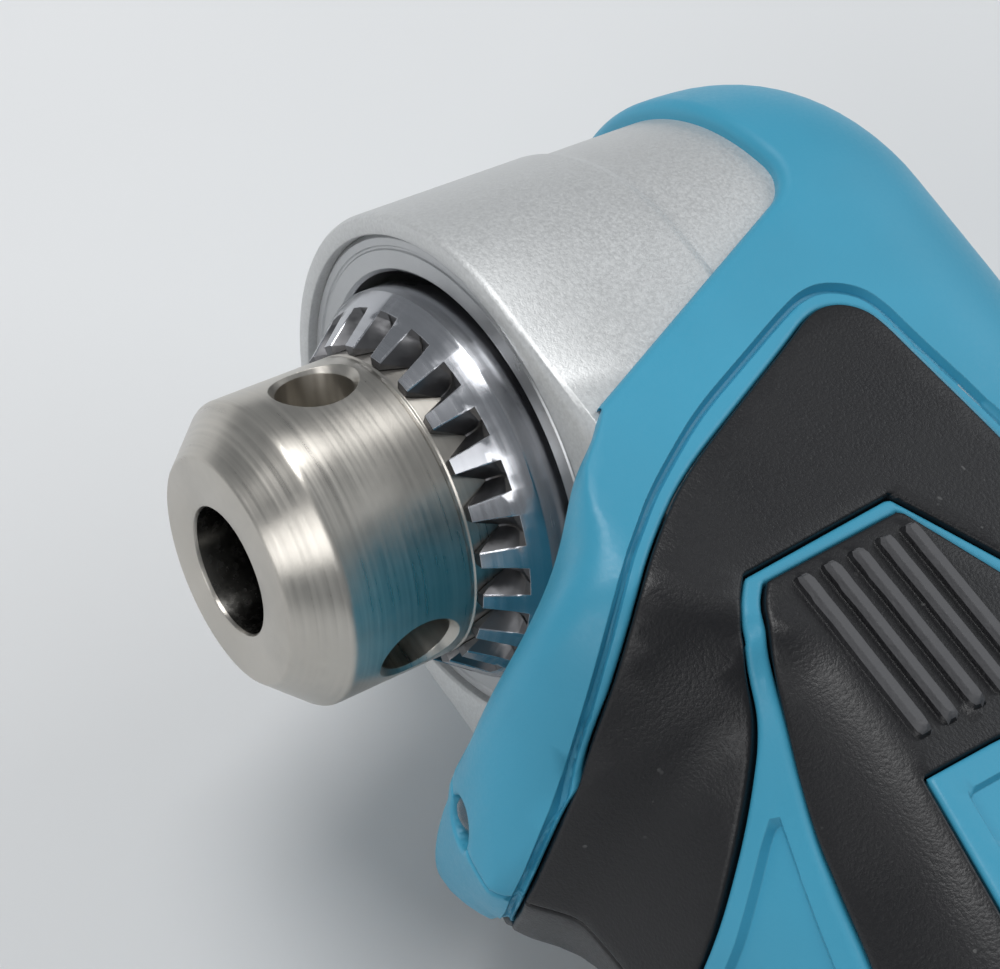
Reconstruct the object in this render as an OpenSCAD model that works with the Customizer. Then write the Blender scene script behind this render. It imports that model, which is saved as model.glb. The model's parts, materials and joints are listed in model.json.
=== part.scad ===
// Right angle drill with a keyed chuck, a cast gear head, a moulded body and a slide-on battery.
// X runs from the chuck axis to the battery, Y from the chuck mouth into the head, Z across the body.
// The origin is the centre of the chuck mouth.

/* [Chuck] */
// Radius of the plain nose
nose_r = 13.15; // [12.8:0.05:13.5]
// Radius of the flat face round the mouth
nose_face_r = 9.8; // [8.5:0.1:11]
// Length of the bevel behind the face
nose_bevel = 3.8; // [2.5:0.1:5]
// Radius of the bore for the drill shank
chuck_bore_r = 5.45; // [5.35:0.05:5.8]
// Radius of the pilot holes for the key
pilot_r = 3.2; // [2.6:0.1:3.6]
// Distance of the pilot holes from the mouth
pilot_y = 10.2; // [9.4:0.1:10.8]
// Distance of the gear teeth from the mouth
sleeve_y = 15.2; // [14.6:0.1:16]
// Number of teeth for the key
key_teeth = 28; // [24:1:30]
// Length of the chuck from mouth to back
chuck_len = 33.6; // [33.2:0.1:36]
// Radius of a jaw
jaw_r = 2.6; // [2.4:0.05:2.7]
// Angle between a jaw and the chuck axis
jaw_angle = 18; // [17:0.5:19]

/* [Gear head] */
// Distance of the case rim from the mouth
case_y = 20.7; // [20.2:0.1:21.5]
// Bore radius of the front spindle bearing
front_bearing_bore = 7.5; // [7:0.1:8]
// Outer radius of the front spindle bearing
front_bearing_r = 14; // [13.5:0.1:14.5]
// Width of the front spindle bearing
front_bearing_w = 7; // [6:0.5:8]
// Bore radius of the rear spindle bearing and of the pinion front bearing
small_bearing_bore = 4; // [3.6:0.1:4.2]
// Outer radius of those bearings
small_bearing_r = 8; // [7.6:0.1:8.4]
// Width of those bearings
small_bearing_w = 5; // [4:0.5:6]
// Module of the bevel gears
bevel_module = 1; // [0.9:0.02:1.06]
// Module of the spur gears
spur_module = 0.8; // [0.75:0.01:0.86]
// Width of the spur gear
spur_w = 6.5; // [5:0.5:8]

/* [Motor] */
// Outer radius of the motor
motor_r = 18.5; // [17:0.25:19.5]
// Length of the motor can
motor_len = 54; // [50:1:60]
// Radius of the rotor
rotor_r = 11.4; // [10.5:0.1:11.8]

/* [Body] */
// Wall of the moulded halves
wall = 2.6; // [2.2:0.1:3]
// Depth of the soft grip pads
pad_depth = 1.4; // [1:0.1:1.8]
// Distance of the slimmest part of the grip from the chuck axis
grip_x = 140; // [134:1:150]
// Distance of the battery face from the chuck axis
foot_x = 236; // [228:1:246]
// Height of the chin's lowest point above the mouth
chin_y = 3.5; // [2.5:0.1:5]
// Radius of the work light hole
light_r = 2; // [1.6:0.1:2.2]

/* [Trigger] */
// Length of the paddle from its pin
trigger_len = 62; // [58:1:64]
// Width of the paddle
trigger_w = 20.8; // [18:0.2:22]

/* [Battery] */
// Length of the pack along its slide
pack_len = 114; // [112:1:122]
// Width of the pack
pack_w = 75; // [75:0.5:80]
// Depth of the pack
pack_t = 46; // [45:0.5:52]
// Radius of a cell
cell_r = 9.1; // [8.8:0.1:9.3]
// Length of a cell
cell_len = 65; // [60:0.5:66]

/* [Hidden] */
$fn = 48;
// General clearances: cutting overrun, still fit, running fit, free running gap, seam
cut = 1;
still_gap = 0.1;
run_gap = 0.05;
free_gap = 0.4;
seam_gap = 0.15;

// Chuck
pilot_depth = 5.6;
pilot_count = 3;
jaw_count = 3;
jaw_phase = 60;
jaw_open_r = 5.15;
jaw_tip_land = 2;
jaw_tip_y = 14.4;
bore_y_share = 0.9;
bore_relief = 0.8;
jaw_flat = 0.4;
jaw_back_gap = 0.5;
nut_back = 6.6;
nut_y = sleeve_y + nut_back;
nut_w = 4.8;
nut_r = 15.4;
thread_show = 0.5;
sleeve_wall = 1.8;
tooth_deep = 1.9;
tooth_rise = 4.4;
tooth_half = 1.6;
tooth_land = 0.8;
thread_len = 9.2;
screw_head_r = 3.4;
screw_head_h = 3;
screw_r = 2;
socket_r = 1.8;
washer_t = 1;
spindle_thread_r = 4.76;
jaw_tip_axis = jaw_open_r + jaw_tip_land - jaw_r;
jaw_back_y = chuck_len - jaw_back_gap;
sleeve_r = nut_r + sleeve_wall;
chuck_back_r = nut_r - still_gap;
thread_y = chuck_len - thread_len;
washer_y = thread_y - washer_t;
bore_y = jaw_tip_y * bore_y_share;

// Gear head, stacked along the chuck axis
collar_w = 2;
collar_r = 9;
shoulder_w = 1.6;
shoulder_in = 1.6;
circlip_w = 1.1;
circlip_in = 1.6;
circlip_out = 0.7;
gear_teeth = 30;
pinion_teeth = 12;
spur_teeth = 24;
motor_teeth = 9;
bevel_face = 5;
tooth_clear = 0.2;
gear_rim = 3.2;
ceiling = 2.1;
crown_cover = 2.3;
chamber_clear = 3.4;
case_wall = 2.8;
case_reveal = 1.1;
case_step = 0.45;
case_step_share = 0.59;
rim_edge = 0.5;
rim_gap = 1;
ring_t = 3.2;
ring_sink = 0.7;
ring_wall = 1.8;
gear_seat_r = 6.2;
tip_share = 0.8;
root_share = 1.15;
// Widths of a tooth at its root and tip, as shares of the pitch
bevel_tooth_shares = [0.58, 0.3];
// The teeth run past the tip cone by this share of their depth, and the cone trims them
tip_over_share = 0.25;
bevel_far_share = 1.3;
bevel_near_share = 0.15;
pinion_pitch = bevel_module * pinion_teeth / 2;
gear_pitch = bevel_module * gear_teeth / 2;
pinion_cone = atan(pinion_pitch / gear_pitch);
gear_cone = 90 - pinion_cone;
cone_len = norm([pinion_pitch, gear_pitch]);
tip_angle = atan(tip_share * bevel_module / cone_len);
root_angle = atan(root_share * bevel_module / cone_len);
pinion_tip_r = gear_pitch * tan(pinion_cone + tip_angle);
bearing_y = chuck_len + collar_w;
shoulder_y = bearing_y + front_bearing_w;
chamber_y = shoulder_y + shoulder_w;
pinion_y = chamber_y + pinion_tip_r + tooth_clear;
gear_back_y = pinion_y + pinion_pitch + gear_rim;
rear_bearing_y = gear_back_y + free_gap;
case_top = rear_bearing_y + small_bearing_w + ceiling;
spindle_end = rear_bearing_y + small_bearing_w - free_gap;
head_top = case_top + seam_gap + crown_cover;
chamber_r = gear_pitch + chamber_clear;
case_in_r = chamber_r + case_wall;
head_r = case_in_r + seam_gap + wall + free_gap;
case_r = head_r - case_reveal;
mouth_r = sleeve_r + rim_gap;
ring_r = case_r - ring_wall;

// Drive line, stacked along the handle
pinion_back = 1.6;
lip_w = 0.8;
lip_in = 1.2;
case_back_w = 2.4;
spur_gap = 4;
plate_gap = 2.5;
spur_tip_share = 0.85;
spur_root_share = 1.2;
spur_tooth_shares = [0.56, 0.24];
plate_t = 4.5;
plate_edge = 1.2;
plate_round = 5;
post_r = 3.4;
post_screw_r = 1.6;
post_screw_deep = 10;
screw_cap_r = 2.8;
screw_cap_h = 2;
post_up = 3;
post_down = 9.5;
post_z = 15.5;
post_edge = 0.6;
block_shoulder = 10;
block_slope = 7.5;
plate_bearing_bore = 3;
plate_bearing_r = 7.5;
plate_bearing_w = 4;
spur_centre = spur_module * (spur_teeth + motor_teeth) / 2;
spur_room_r = spur_module * (spur_teeth / 2 + spur_tip_share) + free_gap;
motor_y = pinion_y - spur_centre;
lip_x = chamber_r;
pinion_bearing_x = lip_x + lip_w;
case_back_x = pinion_bearing_x + small_bearing_w + case_back_w;
spur_x = case_back_x + spur_gap;
plate_x = spur_x + spur_w + plate_gap;
motor_x = plate_x + plate_t;
motor_back_x = motor_x + motor_len;

// Motor
can_wall = 1.7;
can_vents = 4;
vent_share = 0.3;
end_cap_w = 10;
end_cap_in = 1.2;
shaft_r = 2.5;
pinion_seat_r = 1.6;
boss_r = 4.8;
boss_w = 2.5;
magnet_arc = 130;
magnet_gap = 0.9;
commutator_r = 6.2;
commutator_w = 9;
winding_r_share = 0.8;
winding_w = 3.5;
fan_x_share = 0.06;
fan_w = 5;
fan_hub_r = 5.5;
fan_blades = 9;
fan_blade_t = 1.2;
fan_gap = 1.2;
commutator_gap = 2.8;
fan_x = motor_x + fan_x_share * motor_len;
rotor_x = fan_x + fan_w + fan_gap + winding_w;
rotor_len = motor_back_x - commutator_w / 2 - commutator_gap - winding_w - rotor_x;
brush_w = 4;

// Body: shoulders of the cross-section and its stations
crown_h = 18.5;
chin_round = 7;
keel_h = 21;
keel_power = 1.2;
keel_soft_share = 0.25;
grip_round = 13;
crown_power = 2.45;
foot_power = 4.5;
arc_steps = 6;
motor_room = 2.4;
grip_crown = 4;
trigger_room = 6.1;
grip_half = motor_r + wall + motor_room;
grip_top = motor_y + motor_r + grip_crown;
grip_bottom = motor_y - motor_r - trigger_room;
pack_drop = 2;
pack_y = (grip_top + grip_bottom) / 2 - pack_drop;
foot_half_share = 0.465;
foot_reach_share = 0.425;
foot_half = pack_w * foot_half_share;
foot_top = pack_y + pack_len * foot_reach_share;
foot_bottom = pack_y - pack_len * foot_reach_share;
// Each row: place along the handle, then height, depth and width between grip (0) and head or chin (1),
// and how deep and how sharp the keel under the neck is
front_shares = [
    [0, 1, -0.72, 1, 0, 0], [0.086, 0.93, -0.65, 1.045, 0, 0], [0.115, 0.9, -0.12, 1.108, 0, 0],
    [0.145, 0.87, 0.36, 1.18, 0.05, 0.05], [0.172, 0.84, 0.73, 1.252, 0.2, 0.2],
    [0.2, 0.8, 0.9, 1.306, 0.5, 0.55], [0.218, 0.78, 0.98, 1.33, 0.72, 0.8],
    [0.236, 0.755, 1, 1.365, 0.88, 1], [0.252, 0.735, 0.82, 1.385, 0.88, 1],
    [0.28, 0.7, 0.5, 1.415, 0.68, 1], [0.36, 0.6, 0.4, 1.45, 0.6, 0.9],
    [0.45, 0.48, 0.28, 1.36, 0.5, 0.5], [0.57, 0.32, 0.14, 0.95, 0.42, 0.2],
    [0.78, 0.12, 0.04, 0.4, 0.4, 0]
];
// Each row: place between grip and battery face, then height, depth and width between grip (0) and foot (1)
rear_shares = [
    [0, 0, 0, 0], [0.3, 0.01, 0, 0.01], [0.52, 0.05, 0.04, 0.09], [0.68, 0.17, 0.16, 0.28],
    [0.8, 0.42, 0.42, 0.55], [0.9, 0.76, 0.78, 0.84], [1, 1, 1, 1]
];

// Side outlines, as shares of the grip's distance and the head's height
side_size = [grip_x, head_top];
ledge_depth = 0.5;
front_pad_shares = [
    [0.262, 0.03], [0.253, 0.077], [0.247, 0.096], [0.238, 0.118], [0.23, 0.134], [0.218, 0.161],
    [0.192, 0.209], [0.164, 0.275], [0.14, 0.346], [0.117, 0.448], [0.094, 0.552], [0.08, 0.61],
    [0.082, 0.644], [0.091, 0.667], [0.103, 0.677], [0.131, 0.682], [0.195, 0.695], [0.3, 0.712],
    [0.38, 0.716], [0.33, 0.668], [0.256, 0.589], [0.201, 0.529], [0.207, 0.323], [0.219, 0.3],
    [0.236, 0.28], [0.252, 0.271], [0.266, 0.264], [0.277, 0.253], [0.289, 0.237], [0.301, 0.22],
    [0.313, 0.202], [0.336, 0.166], [0.35, 0.133], [0.362, 0.03]
];
ledge_shares = [
    [0.256, 0.02], [0.248, 0.07], [0.242, 0.085], [0.232, 0.109], [0.225, 0.122], [0.212, 0.145],
    [0.192, 0.18], [0.174, 0.216], [0.146, 0.285], [0.13, 0.335], [0.11, 0.403], [0.093, 0.484],
    [0.071, 0.589], [0.067, 0.623], [0.069, 0.65], [0.078, 0.679], [0.092, 0.694], [0.121, 0.699],
    [0.182, 0.716], [0.3, 0.735], [0.42, 0.742], [0.38, 0.716], [0.4, -0.113]
];
ribbed_pad_shares = [
    [0.211, 0.526], [0.215, 0.339], [0.224, 0.321], [0.24, 0.304], [0.257, 0.292], [0.277, 0.28],
    [0.296, 0.268], [0.315, 0.257], [0.337, 0.246], [0.36, 0.238], [0.387, 0.228], [0.412, 0.217],
    [0.437, 0.198], [0.458, 0.163], [0.473, 0.1], [0.482, 0], [0.49, -0.1], [1.36, -0.1], [1.38, 0.2],
    [1.4, 0.44], [1.38, 0.6], [1.34, 0.66], [1.28, 0.69], [1, 0.69], [0.7, 0.7], [0.46, 0.708],
    [0.41, 0.7], [0.36, 0.66], [0.264, 0.574]
];
window_shares = [
    [0.343, 0.343], [0.343, 0.5], [0.356, 0.535], [0.6, 0.535], [0.64, 0.46], [0.612, 0.29], [0.59, 0.27]
];
rib_y_shares = [0.373, 0.4085, 0.445, 0.482, 0.517];
rib_x_shares = [0.222, 0.325];
rib_w = 1.3;
rib_h = 0.8;
case_edge_shares = [[0.0874, 0.294], [0.0018, 0.68]];
case_back_share = 0.712;
case_edge_round = 5;

// Places where the halves carry something: ribs across the body, as shares of the grip's distance
motor_rib_shares = [0.1, 0.82];
rib_t = 2.6;
foot_rib_shares = [0.55, 0.9];
chin_wall = 2.4;
chin_gap = 1.8;
light_x_share = 0.196;
light_deep = 1.6;
lens_h = 3.4;
board_t = 1.4;
board_half_x = 3.6;
board_half_z = 3.6;
light_x = grip_x * light_x_share;
light_top = chin_y + light_deep + lens_h;

// Switch and selector
switch_x_share = 0.1;
switch_len = 32;
switch_h = 20;
switch_w = 18;
plunger_r = 2.5;
plunger_share = 0.875;
selector_w = 11;
selector_h = 6;
selector_round = 2;
selector_out = 3;
switch_x = motor_back_x + end_cap_w + free_gap + grip_x * switch_x_share / 2;
switch_lift = 3;
switch_y = motor_y - motor_r + switch_lift;
plunger_in = 6.79;
plunger_x = switch_x + plunger_in;
selector_x = switch_x + selector_w;
selector_y = switch_y + switch_h + free_gap + selector_h / 2;

// Trigger, which hangs under the plunger
plunger_gap = 0.5;
trigger_pin_r = 1.5;
trigger_hub_r = 3;
trigger_drop = 7.4;
trigger_x = plunger_x - trigger_len * plunger_share;
trigger_lift = 2.5;
trigger_y = grip_bottom + trigger_lift;
plunger_low = trigger_y - trigger_drop / 2 + plunger_gap;
trigger_front = 5;
slot_gap = 0.5;
slot_end_gap = 1.5;
pin_seat = 4;
spring_wire = 0.5;
spring_turns = 4;
spring_steps = 10;
spring_sides = 5;
spring_pitch = 1.5;
spring_room = 8;

// Battery
pack_round = 7;
cover_t = 15;
rail_neck_half = 20;
rail_half = 24;
rail_neck_t = 3;
rail_t = 3.4;
rail_gap = 0.3;
rail_front_share = 0.35;
rail_back_share = 0.375;
cell_count = 5;
cell_gap = 0.25;
cell_pitch_gap = 0.6;
terminal_half = 14;
terminal_h = 13;
terminal_in = 8;
blade_t = 1;
blade_len = 7;
blade_h = 4.6;
blade_half = 8;
blade_gap = 0.4;
blade_in = 0.8;
blade_z = blade_half - blade_t / 2;
button_half = 12;
button_h = 9;
button_out = 2;
button_deep = 5;
button_travel = 2.5;
button_gap = 0.3;
pack_front = pack_y - pack_len / 2;
pack_x = foot_x + rail_gap;
case_x = pack_x + cover_t;
pack_end = pack_x + pack_t;
rail_front = pack_y - pack_len * rail_front_share;
rail_back = pack_y + pack_len * rail_back_share;
rail_end = foot_x + rail_neck_t + rail_t;
cell_x = case_x + (pack_end - case_x) / 2;
button_x = pack_x + cover_t / 2;

// Screws of the halves: places as shares of the grip's distance and the head's height
screw_shares = [[0.375, 0.845], [0.229, 0.227], [1.04, 0.735], [1.17, 0.29], [1.42, 0.735], [1.42, 0.29]];
foot_screw_in = 7.8;
foot_screw_gap = 5.96;
foot_screw_share = 0.249;
body_screw_r = 1.5;
body_screw_len = 20;
body_screw_head_r = 2.9;
body_screw_head_h = 2.2;
boss_out_r = 3.9;
screw_seat_share = 0.55;

// Leads between switch and motor
lead_r = 0.9;
lead_z_share = 0.35;

// Turns a form that stands on Z so that it runs along Y, or along X
module along_y() rotate([-90, 0, 0]) children();
module along_x() rotate([0, 90, 0]) children();

function mix(a, b, t) = a + (b - a) * t;
function scaled(shares, size) = [for (s = shares) [s[0] * size[0], s[1] * size[1]]];

// Toothed outline: flanks run straight from the root to the tip
function toothed(teeth, root_r, tip_r, root_w, tip_w) = [
    for (i = [0 : teeth - 1])
        for (f = [[root_r, -root_w], [tip_r, -tip_w], [tip_r, tip_w], [root_r, root_w]])
            let (a = (i + f[1] / 2) * 360 / teeth)
                f[0] * [cos(a), sin(a)]
];

// Corner of an outline at b, rounded from the a side to the c side
function rounded(a, b, c, r, n = 5) =
    let (u = (a - b) / norm(a - b), v = (c - b) / norm(c - b))
    let (half = acos(u * v) / 2, reach = r / tan(half))
    let (centre = b + (u + v) / norm(u + v) * r / sin(half))
    let (p = b + u * reach - centre, q = b + v * reach - centre)
        [for (i = [0 : n]) let (m = p * (1 - i / n) + q * i / n) centre + m / norm(m) * r];

module rounded_plate(size, r) {
    translate([-size[0] / 2 + r, -size[1] / 2]) square([size[0] - 2 * r, size[1]]);
    translate([-size[0] / 2, -size[1] / 2 + r]) square([size[0], size[1] - 2 * r]);
    for (i = [-1, 1], j = [-1, 1])
        translate([i * (size[0] / 2 - r), j * (size[1] / 2 - r)]) circle(r);
}

module tube(r, inner, h) {
    difference() {
        cylinder(r = r, h = h);
        translate([0, 0, -cut]) cylinder(r = inner, h = h + 2 * cut);
    }
}

// Body stations as [x, top, bottom, half width, upper round, lower round, upper power, lower power]
stations = concat(
    [for (s = front_shares) [
        s[0] * grip_x, mix(grip_top, head_top, s[1]), mix(grip_bottom, chin_y, s[2]),
        mix(grip_half, head_r, s[3]), crown_h, mix(chin_round, keel_h, s[4]),
        crown_power, mix(crown_power, keel_power, s[5])]],
    [for (s = rear_shares) [
        mix(grip_x, foot_x, s[0]), mix(grip_top, foot_top, s[1]), mix(grip_bottom, foot_bottom, s[2]),
        mix(grip_half, foot_half, s[3]), mix(crown_h, grip_round, s[1]), grip_round,
        mix(crown_power, foot_power, s[1]), mix(crown_power, foot_power, s[1])]]
);

// Half cross-section from the back of the body round to its underside
function half_section(s, inset) =
    let (top = s[1] - inset, low = s[2] + inset, w = s[3] - inset)
    let (up = s[4], down = min(s[5], top - up - low), e = 2 / s[6])
    let (under = 2 / s[7], chine = 2 / mix(s[7], s[6], keel_soft_share))
    concat(
        [for (i = [0 : arc_steps]) let (a = 90 * i / arc_steps)
            [w * pow(sin(a), e), top - up + up * pow(cos(a), e)]],
        [for (i = [arc_steps : -1 : 0]) let (a = 90 * i / arc_steps)
            [w * pow(sin(a), under), low + down - down * pow(cos(a), chine)]]
    );

// Closed half ring at a station; under lets a cutter reach past the parting plane
function half_ring(s, inset, x, under) = concat(
    under > 0 ? [[x, s[1] - inset, -under]] : [],
    [for (p = half_section(s, inset)) [x, p[1], p[0]]],
    under > 0 ? [[x, s[2] + inset, -under]] : []
);

module loft(rings) {
    n = len(rings[0]);
    last = len(rings) - 1;
    sides = [for (i = [0 : last - 1], j = [0 : n - 1])
        let (k = (j + 1) % n)
            each [[i * n + j, (i + 1) * n + j, (i + 1) * n + k], [i * n + j, (i + 1) * n + k, i * n + k]]];
    front = [[for (j = [0 : n - 1]) j]];
    back = [[for (j = [n - 1 : -1 : 0]) last * n + j]];
    polyhedron([for (r = rings) each r], concat(front, sides, back), convexity = 6);
}

// Left half of the body's outer form, drawn in by inset
module half_form(inset, under = 0) {
    end = len(stations) - 1;
    loft([for (i = [0 : end]) half_ring(stations[i], inset, stations[i][0] - (i == end ? inset : 0), under)]);
    along_y() rotate(180) rotate_extrude(angle = 90)
        polygon(half_section(stations[0], inset));
    if (under > 0)
        along_y() rotate(90) rotate_extrude(angle = 90)
            polygon(half_section(stations[0], inset));
}

// Hollow of the half behind the head
module half_hollow() {
    end = len(stations) - 1;
    loft([for (i = [1 : end]) half_ring(stations[i], wall, stations[i][0] - (i == end ? wall : 0), cut)]);
}

// Round-ended form: a profile turned about the chuck axis and run straight towards the handle
module head_form(profile, reach) {
    along_y() rotate(90) rotate_extrude(angle = 180) polygon(profile);
    along_x() linear_extrude(reach)
        polygon(mirrored(profile));
}

// Crown of the hidden case, as shares of its radius and of the crown's height
crown_shares = [[1, -0.51], [0.94, -0.35], [0.81, -0.16], [0.57, 0]];
case_low = case_y + ring_sink;
block_top = pinion_y + small_bearing_r + case_wall;
function case_round(g) = concat([[0, case_low - g], [case_in_r + g, case_low - g]],
    [for (s = crown_shares) [s[0] * case_in_r + g, case_top + s[1] * crown_h + g]], [[0, case_top + g]]);
function case_block(g) = [[case_in_r + g, case_low - g], [case_in_r + g, block_top - block_shoulder + g],
    [case_in_r - block_slope + g, block_top + g]];

// Inner part of the cast case: a round head and a block towards the motor
module case_hidden(g) {
    along_y() rotate_extrude() polygon(case_round(g));
    along_x() linear_extrude(case_back_x + g) polygon(mirrored(case_block(g)));
}
function mirrored(side) = concat(side, [for (i = [len(side) - 1 : -1 : 0]) [-side[i][0], side[i][1]]]);

// Side region where the cast case shows, in front of the slanted edge of the body
module case_region() {
    foot = [case_edge_shares[0][0] * grip_x, case_edge_shares[0][1] * head_top];
    neck = [case_edge_shares[1][0] * grip_x, case_edge_shares[1][1] * head_top];
    lean = (neck - foot) / (neck[1] - foot[1]);
    level = case_back_share * head_top;
    corner = foot + lean * (level - foot[1]);
    low = foot + lean * (case_y - foot[1]);
    out = -2 * head_r;
    polygon(concat([[out, level]], rounded([out, level], corner, low, case_edge_round),
        [low, [low[0], case_y - 2 * cut], [out, case_y - 2 * cut]]));
}

module side_prism(shares) linear_extrude(2 * pack_w) polygon(scaled(shares, side_size));

module pad_skin() {
    difference() {
        half_form(0);
        half_form(pad_depth, 2 * cut);
    }
}

// Room for the trigger on the underside
module trigger_slot(gap) {
    translate([trigger_x - trigger_front - gap, -pack_len, -trigger_w / 2 - gap])
        cube([trigger_len + trigger_front + 2 * gap + slot_end_gap,
            pack_len + motor_y - motor_r + wall, trigger_w + 2 * gap]);
}

module selector_bar(reach, gap) {
    translate([selector_x, selector_y, -reach])
        linear_extrude(2 * reach)
            rounded_plate([selector_w + 2 * gap, selector_h + 2 * gap], selector_round);
}

function screw_places() = concat(scaled(screw_shares, side_size), [
    [foot_x - foot_screw_in, rail_front + terminal_h + foot_screw_gap],
    [foot_x - foot_screw_in, pack_y + pack_len * foot_screw_share]
]);
screw_seat_z = -grip_half * screw_seat_share;

// Ribs and bosses that stay inside the hollow
module half_ribs() {
    for (s = motor_rib_shares)
        translate([motor_x + s * motor_len, -pack_len, -2 * cut]) cube([rib_t, 2 * pack_len, pack_w]);
    for (x = [plate_x - rib_t, motor_x + still_gap])
        translate([x, -pack_len, -2 * cut]) cube([rib_t / 2, 2 * pack_len, pack_w]);
    translate([plate_x - rib_t, -pack_len, -2 * cut])
        cube([rib_t + plate_t, pack_len + motor_y - motor_r, pack_w]);
    for (x = [switch_x - rib_t, switch_x + switch_len])
        translate([x, -pack_len, -2 * cut]) cube([rib_t, 2 * pack_len, pack_w]);
    for (s = foot_rib_shares)
        translate([mix(grip_x, foot_x, s), -pack_len, -2 * cut]) cube([rib_t, 2 * pack_len, pack_w]);
    translate([trigger_x - trigger_hub_r, -pack_len, -2 * cut])
        cube([2 * trigger_hub_r, pack_len + motor_y - motor_r + wall, pack_w]);
    along_y() cylinder(r = mouth_r + chin_gap + chin_wall, h = case_low + cut);
    translate([light_x - board_half_x - chin_wall, -pack_len, -2 * cut])
        cube([2 * board_half_x + 2 * chin_wall, pack_len + light_top + board_t, board_half_z + chin_wall]);
    for (p = screw_places()) translate([p[0], p[1], -2 * cut]) cylinder(r = boss_out_r, h = pack_w);
}

// Everything that the halves are cut for
module body_cuts() {
    case_hidden(seam_gap);
    translate([0, 0, -pack_w]) linear_extrude(2 * pack_w) case_region();
    along_y() translate([0, 0, -chuck_len]) cylinder(r = mouth_r + chin_gap, h = chuck_len + case_y + cut);
    translate([motor_x, motor_y, 0]) along_x()
        cylinder(r = motor_r + seam_gap, h = motor_len + end_cap_w + free_gap);
    plate_form(seam_gap);
    translate([case_back_x, 0, 0]) along_x() linear_extrude(plate_x - case_back_x) plate_outline(free_gap);
    translate([case_back_x, pinion_y, 0]) along_x() cylinder(r = spur_room_r, h = plate_x - case_back_x);
    trigger_slot(slot_gap);
    translate([trigger_x, trigger_y, 0])
        cylinder(r = trigger_pin_r, h = trigger_w + 2 * pin_seat, center = true);
    translate([switch_x - still_gap, switch_y - still_gap, -switch_w / 2 - still_gap])
        cube([switch_len + 2 * still_gap, switch_h + 2 * still_gap, switch_w + 2 * still_gap]);
    translate([plunger_x, 0, 0]) along_y() cylinder(r = plunger_r + free_gap, h = switch_y + cut);
    selector_bar(pack_w, still_gap);
    translate([light_x, 0, 0]) along_y() translate([0, 0, -pack_len])
        cylinder(r = light_r, h = pack_len + light_top + cut);
    translate([light_x, light_top, 0]) along_y()
        translate([-board_half_x - still_gap, -board_half_z - still_gap, 0])
            cube([2 * board_half_x + 2 * still_gap, 2 * board_half_z + 2 * still_gap, pack_len]);
    terminal_form(still_gap);
    for (p = screw_places()) translate([p[0], p[1], -cut])
        cylinder(r = body_screw_r + still_gap, h = body_screw_len + screw_seat_z + still_gap + cut);
    leads(still_gap);
}

// Half of the T rail that carries the pack
module half_rail(gap, grow) {
    translate([foot_x - cut, rail_front - grow, -grow])
        cube([rail_neck_t + cut - gap, rail_back - rail_front + grow, rail_neck_half + gap + grow]);
    translate([foot_x + rail_neck_t - gap, rail_front - grow, -grow])
        cube([rail_t + 2 * gap, rail_back - rail_front + grow, rail_half + gap + grow]);
}

module half_housing() {
    difference() {
        union() {
            half_form(0);
            half_rail(0, 0);
        }
        difference() {
            half_hollow();
            half_ribs();
        }
        difference() {
            translate([0, 0, -cut]) side_prism(front_pad_shares);
            half_form(pad_depth, 3 * cut);
        }
        difference() {
            translate([0, 0, -cut]) side_prism(ribbed_pad_shares);
            half_form(pad_depth, 3 * cut);
            side_prism(window_shares);
        }
        difference() {
            translate([0, 0, cut]) side_prism(ledge_shares);
            half_form(ledge_depth, 3 * cut);
        }
        body_cuts();
    }
}

module left_housing() {
    color([0.24, 0.62, 0.75]) half_housing();
}

module screw_wells() {
    for (p = screw_places()) translate([p[0], p[1], screw_seat_z]) {
        mirror([0, 0, 1]) cylinder(r = body_screw_head_r + still_gap, h = pack_w);
        translate([0, 0, -cut]) cylinder(r = body_screw_r + still_gap, h = body_screw_len);
    }
}

module right_housing() {
    color([0.24, 0.62, 0.75]) difference() {
        mirror([0, 0, 1]) half_housing();
        screw_wells();
    }
}

module half_front_pad() {
    difference() {
        intersection() {
            pad_skin();
            side_prism(front_pad_shares);
        }
        body_cuts();
    }
}

module half_ribbed_pad() {
    difference() {
        intersection() {
            pad_skin();
            difference() {
                side_prism(ribbed_pad_shares);
                translate([0, 0, -cut]) side_prism(window_shares);
            }
        }
        body_cuts();
    }
    rib_z = stations[9][3] - rib_h;
    for (s = rib_y_shares)
        translate([rib_x_shares[0] * grip_x, s * head_top - rib_w / 2, rib_z])
            cube([(rib_x_shares[1] - rib_x_shares[0]) * grip_x, rib_w, 2 * rib_h]);
}

module left_front_pad() color([0.14, 0.14, 0.15]) half_front_pad();
module right_front_pad() color([0.14, 0.14, 0.15]) difference() {
    mirror([0, 0, 1]) half_front_pad();
    screw_wells();
}
module left_ribbed_pad() color([0.14, 0.14, 0.15]) half_ribbed_pad();
module right_ribbed_pad() color([0.14, 0.14, 0.15]) difference() {
    mirror([0, 0, 1]) half_ribbed_pad();
    screw_wells();
}

// Places of the posts that join the bearing plate to the case
post_spots = [for (y = [pinion_y + post_up, motor_y - post_down], j = [-1, 1]) [y, j * post_z]];

module case_shown() {
    step_y = mix(case_y, case_back_share * head_top, case_step_share);
    back = case_back_share * head_top;
    profile = [
        [0, case_y], [case_r - rim_edge, case_y], [case_r, case_y + rim_edge], [case_r, step_y],
        [case_r - case_step, step_y + 2 * case_step], [case_r - case_step, back], [0, back]
    ];
    intersection() {
        head_form(profile, case_back_x);
        translate([-seam_gap, -seam_gap, -pack_w]) linear_extrude(2 * pack_w) case_region();
    }
}

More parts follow.
